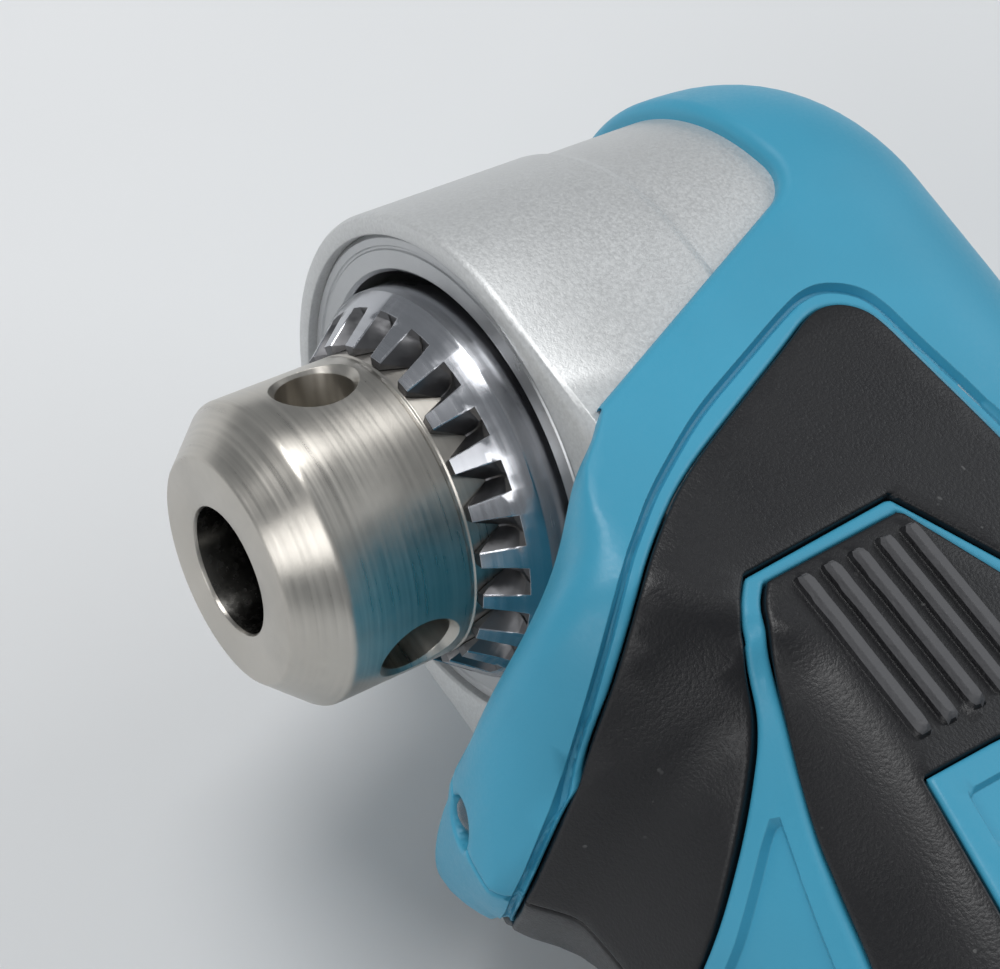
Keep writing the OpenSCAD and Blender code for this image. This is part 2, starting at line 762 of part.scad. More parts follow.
module gear_case() {
    color([0.74, 0.745, 0.745]) difference() {
        union() {
            case_shown();
            case_hidden(0);
        }
        along_y() {
            translate([0, 0, case_y - cut]) cylinder(r = mouth_r, h = chuck_len + free_gap - case_y + cut);
            translate([0, 0, case_y - cut]) cylinder(r = ring_r, h = ring_sink + ring_t + cut);
            translate([0, 0, chuck_len]) cylinder(r = front_bearing_r, h = front_bearing_w + collar_w);
            translate([0, 0, bearing_y - circlip_w])
                cylinder(r = front_bearing_r + circlip_out + still_gap, h = circlip_w);
            translate([0, 0, chuck_len]) cylinder(r = front_bearing_r - shoulder_in, h = chamber_y);
            translate([0, 0, chamber_y]) cylinder(r = chamber_r, h = gear_back_y - gear_rim - chamber_y);
            translate([0, 0, gear_back_y - gear_rim])
                cylinder(r1 = chamber_r, r2 = gear_pitch + 2 * free_gap, h = gear_rim + free_gap);
            translate([0, 0, rear_bearing_y - cut]) cylinder(r = small_bearing_r, h = small_bearing_w + cut);
        }
        translate([0, pinion_y, 0]) along_x() {
            cylinder(r = small_bearing_r - lip_in, h = case_back_x + cut);
            translate([0, 0, pinion_bearing_x]) cylinder(r = small_bearing_r, h = case_back_x);
        }
        for (p = post_spots) translate([case_back_x - post_screw_deep, p[0], p[1]]) along_x()
            cylinder(r = post_screw_r, h = post_screw_deep + cut);
    }
}

module retaining_ring() {
    color([0.45, 0.46, 0.47]) along_y() translate([0, 0, case_y + ring_sink])
        tube(ring_r - still_gap / 2, mouth_r - still_gap, ring_t);
}

// Radius of the jaw's axis at a depth behind the mouth
function jaw_axis(y) = jaw_tip_axis + (y - jaw_tip_y) * tan(jaw_angle);

module jaw_rod(r, y0, y1) {
    translate([jaw_axis(y0), 0, y0]) rotate([0, jaw_angle, 0])
        cylinder(r = r, h = (y1 - y0) / cos(jaw_angle));
}

function jaw_edge(y) = jaw_axis(y) + jaw_r / cos(jaw_angle);

// Slanted holes that the jaws slide in
module jaw_holes() {
    for (i = [0 : jaw_count - 1]) rotate(jaw_phase + i * 360 / jaw_count)
        jaw_rod(jaw_r + run_gap, jaw_tip_y / 2, chuck_len + 3 * cut);
}

module chuck_body() {
    color([0.72, 0.69, 0.64]) along_y() difference() {
        rotate_extrude() polygon([
            [0, 0], [nose_face_r, 0], [nose_r, nose_bevel], [nose_r, nut_y],
            [jaw_edge(nut_y) - thread_show, nut_y], [jaw_edge(nut_y + nut_w) - thread_show, nut_y + nut_w],
            [chuck_back_r, nut_y + nut_w], [chuck_back_r, chuck_len], [0, chuck_len]
        ]);
        translate([0, 0, -cut]) cylinder(r = chuck_bore_r, h = bore_y + 2 * cut);
        translate([0, 0, bore_y]) cylinder(r = chuck_bore_r + bore_relief, h = thread_y - bore_y);
        translate([0, 0, thread_y - cut]) cylinder(r = spindle_thread_r + still_gap, h = chuck_len);
        jaw_holes();
        for (i = [0 : pilot_count - 1]) rotate(i * 360 / pilot_count)
            translate([nose_r - pilot_depth, 0, pilot_y]) along_x()
                cylinder(r = pilot_r, h = pilot_depth + cut);
    }
}

module chuck_gear_sleeve() {
    back_y = chuck_len - free_gap;
    notch = 360 / key_teeth;
    slope = atan2(tooth_rise, sleeve_r - nose_r);
    color([0.6, 0.61, 0.62]) along_y() difference() {
        rotate_extrude() polygon([
            [nose_r + run_gap, sleeve_y], [nose_r + tooth_land, sleeve_y],
            [sleeve_r, sleeve_y + tooth_rise], [sleeve_r, back_y],
            [nut_r, back_y], [nut_r, nut_y], [nose_r + run_gap, nut_y]
        ]);
        for (i = [0 : key_teeth - 1]) rotate((i + 0.5) * notch)
            translate([nose_r + tooth_land / 2, 0, sleeve_y]) rotate([0, 90 - slope, 0])
                linear_extrude(2 * tooth_rise)
                    polygon([[tooth_deep, 0], [-cut, -tooth_half], [-cut, tooth_half]]);
    }
}

module chuck_nut() {
    color([0.5, 0.5, 0.51]) along_y() rotate_extrude() polygon([
        [jaw_edge(nut_y) + 2 * run_gap, nut_y + run_gap], [nut_r, nut_y + run_gap],
        [nut_r, nut_y + nut_w - run_gap], [jaw_edge(nut_y + nut_w) + 2 * run_gap, nut_y + nut_w - run_gap]
    ]);
}

module chuck_jaw(i) {
    reach = 2 * nose_r;
    color([0.4, 0.4, 0.41]) along_y() rotate(jaw_phase + i * 360 / jaw_count) intersection() {
        jaw_rod(jaw_r, jaw_tip_y - 2 * cut, chuck_len + 2 * cut);
        translate([0, 0, jaw_tip_y]) linear_extrude(jaw_back_y - jaw_tip_y) polygon([
            [jaw_open_r, -jaw_flat], [jaw_open_r + reach * cos(60), -jaw_flat - reach * sin(60)],
            [jaw_open_r + reach, 0], [jaw_open_r + reach * cos(60), jaw_flat + reach * sin(60)],
            [jaw_open_r, jaw_flat]
        ]);
    }
}
module chuck_jaw_1() chuck_jaw(0);
module chuck_jaw_2() chuck_jaw(1);
module chuck_jaw_3() chuck_jaw(2);

// Washer at the bottom of the bore, notched for the jaws, that the chuck screw bears on
module chuck_washer() {
    color([0.42, 0.42, 0.43]) along_y() difference() {
        translate([0, 0, washer_y]) cylinder(r = chuck_bore_r - still_gap, h = washer_t);
        translate([0, 0, -cut]) cylinder(r = screw_r + still_gap, h = chuck_len);
        jaw_holes();
    }
}

module chuck_screw() {
    shank = chuck_len - washer_y - 2 * washer_t;
    color([0.3, 0.3, 0.31]) along_y() difference() {
        union() {
            translate([0, 0, washer_y - screw_head_h]) cylinder(r = screw_head_r, h = screw_head_h);
            translate([0, 0, washer_y - cut]) cylinder(r = screw_r, h = shank + cut);
        }
        translate([0, 0, washer_y - screw_head_h - cut])
            cylinder(r = socket_r, h = screw_head_h / 2 + cut, $fn = 6);
    }
}

module spindle() {
    color([0.62, 0.63, 0.64]) along_y() difference() {
        union() {
            translate([0, 0, thread_y + still_gap]) cylinder(r = spindle_thread_r, h = chuck_len - thread_y);
            translate([0, 0, chuck_len]) cylinder(r = collar_r, h = collar_w - seam_gap);
            translate([0, 0, chuck_len])
                cylinder(r = front_bearing_bore - run_gap, h = chamber_y - chuck_len);
            translate([0, 0, chuck_len])
                cylinder(r = gear_seat_r, h = rear_bearing_y - seam_gap - chuck_len);
            translate([0, 0, chuck_len])
                cylinder(r = small_bearing_bore - run_gap, h = spindle_end - chuck_len);
        }
        translate([0, 0, thread_y - cut]) cylinder(r = screw_r, h = chuck_len - washer_y);
    }
}

// A sealed ball bearing: two rings with the shields set back between them
module bearing(r, bore, w) {
    shield = w / 8;
    land = (r - bore) / 4;
    rotate_extrude() polygon([
        [bore, 0], [bore + land, 0], [bore + land, shield], [r - land, shield], [r - land, 0], [r, 0],
        [r, w], [r - land, w], [r - land, w - shield], [bore + land, w - shield], [bore + land, w], [bore, w]
    ]);
}

module front_spindle_bearing() {
    color([0.66, 0.67, 0.68]) along_y() translate([0, 0, bearing_y])
        bearing(front_bearing_r, front_bearing_bore, front_bearing_w);
}

module bearing_circlip() {
    color([0.25, 0.25, 0.26]) along_y() translate([0, 0, bearing_y - circlip_w]) difference() {
        tube(front_bearing_r + circlip_out, front_bearing_r - circlip_in, circlip_w);
        translate([0, -circlip_in, -cut]) cube([2 * front_bearing_r, 2 * circlip_in, 3 * cut]);
    }
}

module rear_spindle_bearing() {
    color([0.66, 0.67, 0.68]) along_y() translate([0, 0, rear_bearing_y])
        bearing(small_bearing_r, small_bearing_bore, small_bearing_w);
}

// Straight bevel gear on Z: pitch cone with its apex at the origin, opening upwards
module bevel(teeth, cone, back) {
    outer = cone_len;
    inner = cone_len - bevel_face;
    far = bevel_far_share * outer * cos(cone);
    root_r = far * tan(cone - root_angle);
    tip_r = mix(root_r, far * tan(cone + tip_angle), 1 + tip_over_share);
    tip_w = mix(bevel_tooth_shares[0], bevel_tooth_shares[1], 1 + tip_over_share);
    intersection() {
        rotate_extrude() polygon([
            [0, inner * cos(cone + tip_angle)],
            [inner * sin(cone + tip_angle), inner * cos(cone + tip_angle)],
            [outer * sin(cone + tip_angle), outer * cos(cone + tip_angle)],
            [outer * sin(cone - root_angle) + tip_share * bevel_module, outer * cos(cone) + back],
            [0, outer * cos(cone) + back]
        ]);
        union() {
            mirror([0, 0, 1]) translate([0, 0, -far])
                linear_extrude(far * (1 - bevel_near_share), scale = bevel_near_share)
                    polygon(toothed(teeth, root_r, tip_r, bevel_tooth_shares[0], tip_w));
            translate([0, 0, outer * cos(cone - root_angle)]) cylinder(r = 2 * outer, h = 2 * outer);
        }
    }
}

module bevel_gear() {
    color([0.55, 0.56, 0.57]) difference() {
        translate([0, pinion_y, 0]) along_y() rotate(180 / gear_teeth)
            bevel(gear_teeth, gear_cone, gear_back_y - pinion_y - pinion_pitch);
        along_y() cylinder(r = gear_seat_r, h = 2 * pinion_y);
    }
}

module bevel_pinion() {
    start = gear_pitch + pinion_back / 2;
    end = plate_x + plate_bearing_w - free_gap;
    thick = small_bearing_bore - run_gap;
    thin = plate_bearing_bore - run_gap;
    color([0.55, 0.56, 0.57]) translate([0, pinion_y, 0]) along_x() {
        bevel(pinion_teeth, pinion_cone, pinion_back);
        rotate_extrude()
            polygon([[0, start], [thick, start], [thick, spur_x], [thin, spur_x], [thin, end], [0, end]]);
    }
}

module pinion_front_bearing() {
    color([0.66, 0.67, 0.68]) translate([pinion_bearing_x, pinion_y, 0]) along_x()
        bearing(small_bearing_r, small_bearing_bore, small_bearing_w);
}

module pinion_rear_bearing() {
    color([0.66, 0.67, 0.68]) translate([plate_x, pinion_y, 0]) along_x()
        bearing(plate_bearing_r, plate_bearing_bore, plate_bearing_w);
}

module spur(teeth, w) {
    pitch_r = spur_module * teeth / 2;
    linear_extrude(w) polygon(toothed(teeth, pitch_r - spur_root_share * spur_module,
        pitch_r + spur_tip_share * spur_module, spur_tooth_shares[0], spur_tooth_shares[1]));
}

module spur_gear() {
    color([0.5, 0.51, 0.52]) translate([spur_x, pinion_y, 0]) along_x() difference() {
        spur(spur_teeth, spur_w);
        translate([0, 0, -cut]) cylinder(r = plate_bearing_bore - run_gap, h = spur_w + 2 * cut);
    }
}

// Outline of the bearing plate, which the halves clasp
plate_low = motor_y - post_down - post_r - post_edge;
plate_high = pinion_y + plate_bearing_r + plate_edge;
plate_w = 2 * (post_z + post_r + post_edge);
module plate_outline(gap) {
    translate([0, (plate_low + plate_high) / 2])
        rounded_plate([plate_w + 2 * gap, plate_high - plate_low + 2 * gap], plate_round);
}
module plate_form(gap) {
    translate([plate_x - gap, 0, 0]) along_x() linear_extrude(plate_t + 2 * gap) plate_outline(gap);
}

module bearing_plate() {
    color([0.68, 0.69, 0.7]) difference() {
        union() {
            plate_form(0);
            for (p = post_spots) translate([case_back_x, p[0], p[1]]) along_x()
                cylinder(r = post_r, h = plate_x - case_back_x + cut);
        }
        for (p = post_spots) translate([case_back_x - cut, p[0], p[1]]) along_x()
            cylinder(r = post_screw_r + still_gap, h = motor_x);
        for (p = post_spots) translate([motor_x - screw_cap_h, p[0], p[1]]) along_x()
            cylinder(r = screw_cap_r + still_gap, h = plate_t);
        translate([plate_x - cut, pinion_y, 0]) along_x()
            cylinder(r = plate_bearing_r, h = plate_bearing_w + cut);
        translate([plate_x - cut, motor_y, 0]) along_x()
            cylinder(r = boss_r + still_gap, h = plate_t + 2 * cut);
    }
}

module gear_case_screws() {
    color([0.3, 0.3, 0.31]) for (p = post_spots) translate([0, p[0], p[1]]) along_x() {
        translate([0, 0, case_back_x - post_screw_deep])
            cylinder(r = post_screw_r, h = motor_x - case_back_x + post_screw_deep - screw_cap_h);
        translate([0, 0, motor_x - screw_cap_h]) cylinder(r = screw_cap_r, h = screw_cap_h);
    }
}

module motor_can() {
    color([0.55, 0.56, 0.58]) translate([motor_x, motor_y, 0]) along_x() difference() {
        union() {
            cylinder(r = motor_r, h = motor_len);
            translate([0, 0, -boss_w]) cylinder(r = boss_r, h = boss_w + cut);
        }
        translate([0, 0, can_wall]) cylinder(r = motor_r - can_wall, h = motor_len);
        translate([0, 0, -boss_w - cut]) cylinder(r = shaft_r + run_gap, h = motor_len);
        for (i = [0 : can_vents - 1]) rotate(45 + i * 360 / can_vents)
            translate([0, -motor_r * vent_share, 2 * can_wall])
                cube([motor_r + cut, 2 * motor_r * vent_share, fan_w]);
    }
}

module motor_magnets() {
    outer = motor_r - can_wall;
    color([0.2, 0.2, 0.21]) translate([rotor_x, motor_y, 0]) along_x()
        for (a = [0, 180]) rotate(a - magnet_arc / 2) rotate_extrude(angle = magnet_arc)
            translate([rotor_r + magnet_gap, 0])
                square([outer - rotor_r - magnet_gap, rotor_len]);
}

module rotor() {
    color([0.6, 0.4, 0.25]) translate([0, motor_y, 0]) along_x() {
        translate([0, 0, spur_x]) cylinder(r = pinion_seat_r, h = plate_x + cut - spur_x);
        translate([0, 0, plate_x]) cylinder(r = shaft_r, h = motor_back_x + end_cap_w - end_cap_in - plate_x);
        translate([0, 0, rotor_x]) cylinder(r = rotor_r, h = rotor_len);
        translate([0, 0, rotor_x - winding_w])
            cylinder(r = rotor_r * winding_r_share, h = rotor_len + 2 * winding_w);
        translate([0, 0, motor_back_x - commutator_w / 2]) cylinder(r = commutator_r, h = commutator_w);
    }
}

module motor_pinion() {
    color([0.5, 0.51, 0.52]) translate([spur_x - spur_gap / 4, motor_y, 0]) along_x() difference() {
        rotate(spur_mesh_turn()) spur(motor_teeth, spur_w + spur_gap / 2);
        translate([0, 0, spur_gap / 4]) cylinder(r = pinion_seat_r, h = motor_x);
    }
}
// Turn that sets a gap of the motor pinion against a tooth of the spur gear
function spur_mesh_turn() = 90 + 180 / motor_teeth;

module cooling_fan() {
    reach = motor_r - can_wall - 2 * free_gap;
    color([0.12, 0.12, 0.13]) translate([fan_x, motor_y, 0]) along_x() difference() {
        union() {
            cylinder(r = fan_hub_r, h = fan_w);
            cylinder(r = reach, h = fan_blade_t);
            for (i = [0 : fan_blades - 1]) rotate(i * 360 / fan_blades)
                translate([fan_hub_r - fan_blade_t, -fan_blade_t / 2, 0])
                    cube([reach - fan_hub_r, fan_blade_t, fan_w]);
        }
        translate([0, 0, -cut]) cylinder(r = shaft_r, h = fan_w + 2 * cut);
    }
}

module motor_end_cap() {
    color([0.1, 0.1, 0.11]) translate([motor_back_x, motor_y, 0]) along_x() difference() {
        cylinder(r = motor_r, h = end_cap_w);
        translate([0, 0, -cut]) cylinder(r = motor_r - 2 * can_wall, h = end_cap_w - 2 * end_cap_in + cut);
        translate([0, 0, -cut]) cylinder(r = shaft_r + run_gap, h = end_cap_w + 2 * cut);
    }
}

module motor_brushes() {
    start = commutator_r + run_gap;
    reach = sqrt(pow(motor_r - 2 * can_wall, 2) - pow(brush_w / 2, 2)) - start;
    color([0.15, 0.15, 0.15]) translate([motor_back_x, motor_y, 0]) along_x()
        for (a = [90, 270]) rotate(a)
            translate([start, -brush_w / 2, 0]) cube([reach, brush_w, commutator_w / 2 - run_gap]);
}

// Paddle: its underside follows a slow curve from the pin to the free end
paddle_under_shares = [
    [-0.08, 0.42], [0.1, 0.62], [0.35, 0.8], [0.62, 0.98], [0.84, 1], [0.95, 0.88], [1, 0.62]
];
paddle_over_shares = [[1, 0.1], [0.96, 0.1], [0.95, 0.5], [0.6, 0.5], [0.3, 0.36], [0.06, 0.12]];
paddle_size = [trigger_len, -trigger_drop];

module trigger() {
    outline = concat(scaled(paddle_under_shares, paddle_size), scaled(paddle_over_shares, paddle_size));
    color([0.11, 0.11, 0.12]) translate([trigger_x, trigger_y, 0]) difference() {
        union() {
            translate([0, 0, -trigger_w / 2]) linear_extrude(trigger_w) polygon(outline);
            cylinder(r = trigger_hub_r, h = trigger_w, center = true);
        }
        cylinder(r = trigger_pin_r + run_gap, h = 2 * trigger_w, center = true);
        cylinder(r = trigger_hub_r - run_gap, h = spring_room, center = true);
    }
}

module trigger_pin() {
    color([0.6, 0.61, 0.62]) translate([trigger_x, trigger_y, 0])
        cylinder(r = trigger_pin_r, h = trigger_w + 2 * pin_seat - 2 * still_gap, center = true);
}

// Coil of round wire about Z, swept as one unbroken tube
module coil(r, wire, turns, pitch) {
    count = turns * spring_steps;
    function centre(i) = let (a = 360 * i / spring_steps)
        [r * cos(a), r * sin(a), pitch * (i / spring_steps - turns / 2)];
    rings = [for (i = [0 : count]) let (a = 360 * i / spring_steps)
        [for (k = [0 : spring_sides - 1]) let (b = -360 * k / spring_sides)
            centre(i) + wire * [cos(b) * cos(a), cos(b) * sin(a), sin(b)]]];
    loft(rings);
}

module trigger_spring() {
    seat = trigger_pin_r / cos(180 / spring_steps) + spring_wire * cos(180 / spring_sides);
    color([0.7, 0.7, 0.71]) translate([trigger_x, trigger_y, 0])
        coil(seat, spring_wire, spring_turns, spring_pitch);
}

module switch_box() {
    color([0.16, 0.16, 0.17]) difference() {
        translate([switch_x, switch_y, -switch_w / 2]) cube([switch_len, switch_h, switch_w]);
        translate([plunger_x, switch_y - cut, 0]) along_y()
            cylinder(r = plunger_r + run_gap, h = switch_h / 2 + plunger_r + cut);
    }
}

module switch_plunger() {
    color([0.75, 0.2, 0.15]) translate([plunger_x, plunger_low, 0]) along_y()
        cylinder(r = plunger_r, h = switch_y + switch_h / 4 - plunger_low);
}

module reversing_selector() {
    color([0.11, 0.11, 0.12]) selector_bar(grip_half + selector_out, 0);
}

module light_lens() {
    color([0.9, 0.92, 0.95]) translate([light_x, chin_y + light_deep, 0]) along_y()
        cylinder(r = light_r - run_gap, h = lens_h);
}

module light_board() {
    color([0.1, 0.35, 0.2]) translate([light_x, light_top, 0]) along_y()
        translate([-board_half_x, -board_half_z, 0]) cube([2 * board_half_x, 2 * board_half_z, board_t]);
}

module terminal_form(gap) {
    translate([foot_x - terminal_in - gap, rail_front - cut, -terminal_half - gap])
        cube([rail_end - foot_x + terminal_in + 2 * gap, terminal_h + cut + gap,
            2 * terminal_half + 2 * gap]);
}

module terminal_block() {
    color([0.14, 0.14, 0.15]) intersection() {
        terminal_form(0);
        translate([0, rail_front, -pack_w]) cube([rail_end, pack_len, 2 * pack_w]);
    }
    color([0.8, 0.65, 0.3]) for (z = [-blade_half, blade_half])
        translate([foot_x + blade_in, rail_front - blade_len, z - blade_t / 2])
            cube([blade_h, blade_len + cut, blade_t]);
}

module pack_block(x0, x1) {
    translate([x0, pack_y, 0]) along_x() linear_extrude(x1 - x0)
        rounded_plate([pack_w, pack_len], pack_round);
}

module battery_cover() {
    color([0.15, 0.15, 0.16]) difference() {
        pack_block(pack_x, case_x);
        for (m = [0, 1]) mirror([0, 0, m]) {
            translate([foot_x - cut, rail_front - rail_gap, -cut])
                cube([rail_neck_t + cut + rail_gap, pack_len, rail_neck_half + rail_gap + cut]);
            translate([foot_x + rail_neck_t - rail_gap, rail_front - rail_gap, -cut])
                cube([rail_t + 2 * rail_gap, pack_len, rail_half + rail_gap + cut]);
            translate([foot_x - cut, rail_front - blade_len - blade_gap, blade_z - blade_gap])
                cube([blade_in + blade_h + blade_gap + cut, blade_len + cut, blade_t + 2 * blade_gap]);
        }
        translate([button_x - button_h / 2 - button_gap, pack_front - cut, -button_half - button_gap])
            cube([button_h + 2 * button_gap, button_deep + cut, 2 * button_half + 2 * button_gap]);
    }
}

cell_places = [for (i = [0 : cell_count - 1])
    pack_y + (i - (cell_count - 1) / 2) * (2 * cell_r + cell_pitch_gap)];

module battery_case() {
    pocket = cell_r + cell_gap;
    color([0.13, 0.13, 0.14]) difference() {
        pack_block(case_x, pack_end);
        for (y = cell_places) translate([cell_x, y, 0]) {
            cylinder(r = pocket, h = cell_len + 2 * cell_gap, center = true);
            translate([case_x - cell_x - cut, -pocket, -cell_len / 2 - cell_gap])
                cube([cell_x - case_x + cut, 2 * pocket, cell_len + 2 * cell_gap]);
        }
    }
}

module battery_cells() {
    color([0.2, 0.45, 0.3]) for (y = cell_places)
        translate([cell_x, y, 0]) cylinder(r = cell_r, h = cell_len, center = true);
}

module release_button() {
    color([0.75, 0.15, 0.12])
        translate([button_x - button_h / 2, pack_front - button_out, -button_half])
            cube([button_h, button_deep + button_out - button_travel - button_gap, 2 * button_half]);
}

module housing_screws() {
    color([0.3, 0.3, 0.31]) for (p = screw_places()) translate([p[0], p[1], screw_seat_z]) {
        cylinder(r = body_screw_r, h = body_screw_len);
        translate([0, 0, -body_screw_head_h]) cylinder(r = body_screw_head_r, h = body_screw_head_h);
    }
}

module leads(gap) {
    for (z = [-1, 1]) translate([motor_back_x + end_cap_w, motor_y, z * lead_z_share * motor_r]) along_x()
        cylinder(r = lead_r + gap, h = switch_x - motor_back_x - end_cap_w);
}

module motor_leads() {
    color([0.6, 0.1, 0.1]) leads(0);
}

left_housing();
right_housing();
left_front_pad();
right_front_pad();
left_ribbed_pad();
right_ribbed_pad();
gear_case();
retaining_ring();
chuck_body();
chuck_gear_sleeve();
chuck_nut();
chuck_jaw_1();
chuck_jaw_2();
chuck_jaw_3();
chuck_washer();
chuck_screw();
spindle();
front_spindle_bearing();
bearing_circlip();
rear_spindle_bearing();
bevel_gear();
bevel_pinion();
pinion_front_bearing();
pinion_rear_bearing();
spur_gear();
bearing_plate();
gear_case_screws();
motor_can();
motor_magnets();
rotor();
motor_pinion();
cooling_fan();
motor_end_cap();
motor_brushes();
trigger();
trigger_pin();
trigger_spring();
switch_box();
switch_plunger();
reversing_selector();
light_lens();
light_board();
terminal_block();
battery_case();
battery_cover();
battery_cells();
release_button();
housing_screws();
motor_leads();
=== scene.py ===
"""Right angle drill: the looks of the part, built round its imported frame.

Lengths are in millimetres in the row frame until a mesh is made, and Blender's objects are in metres.
X runs from the chuck axis to the battery, Y from the chuck mouth into the head, Z across the body.
"""
import json
import math
from contextlib import contextmanager

import bmesh
import bpy
import numpy as np
from mathutils import Matrix, Vector
from mathutils.geometry import delaunay_2d_cdt


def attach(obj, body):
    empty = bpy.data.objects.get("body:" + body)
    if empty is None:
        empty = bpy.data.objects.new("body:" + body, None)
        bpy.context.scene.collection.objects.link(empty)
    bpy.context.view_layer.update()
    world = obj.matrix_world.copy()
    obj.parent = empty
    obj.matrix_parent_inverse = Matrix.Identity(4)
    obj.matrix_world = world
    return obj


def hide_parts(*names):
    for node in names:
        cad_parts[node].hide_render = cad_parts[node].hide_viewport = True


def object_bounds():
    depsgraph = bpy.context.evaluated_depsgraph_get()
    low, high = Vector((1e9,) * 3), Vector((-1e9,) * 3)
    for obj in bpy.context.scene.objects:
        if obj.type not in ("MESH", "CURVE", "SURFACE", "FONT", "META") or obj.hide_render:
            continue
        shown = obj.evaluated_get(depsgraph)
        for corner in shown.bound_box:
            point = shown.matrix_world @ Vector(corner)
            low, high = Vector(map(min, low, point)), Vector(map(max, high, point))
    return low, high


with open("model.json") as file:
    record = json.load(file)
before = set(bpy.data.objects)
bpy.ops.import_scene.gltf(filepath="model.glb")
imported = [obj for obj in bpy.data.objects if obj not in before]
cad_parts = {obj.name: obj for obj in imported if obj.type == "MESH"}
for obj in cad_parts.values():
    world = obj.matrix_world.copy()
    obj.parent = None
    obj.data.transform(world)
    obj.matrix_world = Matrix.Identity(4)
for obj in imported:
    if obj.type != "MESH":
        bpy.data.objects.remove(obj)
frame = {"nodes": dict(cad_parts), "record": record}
cad_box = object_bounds()
MM = 0.001
TURN = 2 * math.pi
FLOOR_HALF = 3.0


# Camera, floor and light

def make_camera():
    """The photograph's own view: place, three axes and lens."""
    data = bpy.data.cameras.new("camera")
    data.sensor_width = 36
    data.lens = 84.8
    data.clip_start = 0.01
    camera = bpy.data.objects.new("camera", data)
    bpy.context.scene.collection.objects.link(camera)
    spot = Vector((82.2, -65.6, 156.8)) * MM
    right = Vector((0.5397, 0.8182, 0.1982))
    up = Vector((-0.7389, 0.3476, 0.5773))
    back = right.cross(up).normalized()
    up = back.cross(right).normalized()
    axes = Matrix((right.normalized(), up, back)).transposed()
    camera.matrix_world = Matrix.Translation(spot) @ axes.to_4x4()
    bpy.context.scene.camera = camera


def add_area(name, spot, target, size, power, tint=(1, 1, 1)):
    """A soft box that faces a target; its lengths are in metres."""
    data = bpy.data.lights.new(name, "AREA")
    data.shape = "RECTANGLE"
    data.size, data.size_y = size
    data.energy = power
    data.color = tint
    lamp = bpy.data.objects.new(name, data)
    bpy.context.scene.collection.objects.link(lamp)
    turn = (Vector(target) - Vector(spot)).to_track_quat("-Z", "Y")
    lamp.matrix_world = Matrix.Translation(Vector(spot)) @ turn.to_matrix().to_4x4()


def make_studio():
    """Pale floor under the lying part, a grey room and soft boxes."""
    bpy.context.scene.view_settings.view_transform = "Standard"
    low = cad_box[0][2]
    corners = [(x * FLOOR_HALF, y * FLOOR_HALF, low) for x, y in ((-1, -1), (1, -1), (1, 1), (-1, 1))]
    floor = mesh_object("floor", corners, [(0, 1, 2, 3)], scale=1.0)
    floor.data.materials.append(LOOKS["floor"])
    world = bpy.data.worlds.new("room")
    world.use_nodes = True
    room = world.node_tree.nodes["Background"].inputs
    room["Color"].default_value = (0.62, 0.65, 0.68, 1)
    room["Strength"].default_value = 0.42
    bpy.context.scene.world = world
    middle = (0.03, 0.03, 0.0)
    add_area("key", (-0.35, -0.1, 0.75), middle, (0.5, 0.3), 3.6)
    add_area("side", (0.25, -0.75, 0.45), middle, (0.5, 0.35), 1.8)
    add_area("back", (0.1, 0.7, 0.55), middle, (0.8, 0.3), 2.2, (0.95, 0.98, 1))


# Materials: each has its own mottling, grain, scuffs and dust; the rib tops carry a painted highlight, the
# sleeve's gaps and the chuck's bore a painted shade. Noise scales are per metre, bump depths in metres.

class Nodes:
    """Short hand for building a material's node tree."""

    def __init__(self, name):
        self.material = bpy.data.materials.new(name)
        self.material.use_nodes = True
        self.tree = self.material.node_tree
        self.shader = self.tree.nodes["Principled BSDF"]
        self.place = self.add("TexCoord", "Object")

    def feed(self, socket, value):
        """Links another node's output to a socket, or gives it a value."""
        if isinstance(value, bpy.types.NodeSocket):
            self.tree.links.new(value, socket)
        else:
            socket.default_value = (*value, 1) if socket.type == "RGBA" else value

    def add(self, kind, out, values=None, **settings):
        """One output of a new node, with its sockets fed."""
        node = self.tree.nodes.new("ShaderNode" + kind)
        for key, value in settings.items():
            setattr(node, key, value)
        for key, value in (values or {}).items():
            self.feed(node.inputs[key], value)
        return node.outputs[out]

    def set(self, **values):
        for key, value in values.items():
            self.feed(self.shader.inputs[key.replace("_", " ")], value)

    def noise(self, scale, detail=2.0, rough=0.5, source=None):
        return self.add("TexNoise", "Fac", {
            "Scale": scale, "Detail": detail, "Roughness": rough, "Vector": source or self.place})

    def spread(self, source, low, high, to_low=0.0, to_high=1.0):
        return self.add("MapRange", "Result", {
            "Value": source, "From Min": low, "From Max": high, "To Min": to_low, "To Max": to_high})

    def sum(self, a, b, share):
        return self.add("Math", 0, {0: b, 1: share, 2: a}, operation="MULTIPLY_ADD")

    def mixed(self, share, a, b):
        """A mix of two colours; the node's sockets 6, 7 and its output 2 are the ones for colour."""
        return self.add("Mix", 2, {"Factor": share, 6: a, 7: b}, data_type="RGBA")

    def bump(self, height, strength, distance, edge_round=0.0):
        """Relief of the surface, over edges that are shaded as rounded."""
        values = {"Strength": strength, "Distance": distance, "Height": height}
        if edge_round:
            values["Normal"] = self.add("Bevel", "Normal", {"Radius": edge_round}, samples=4)
        self.set(Normal=self.add("Bump", "Normal", values))


def shaded(colour, factor):
    return tuple(min(1.0, c * factor) for c in colour)


EDGE_ROUND = 0.15 * MM
RING_SCALE = (25, 2600, 25)


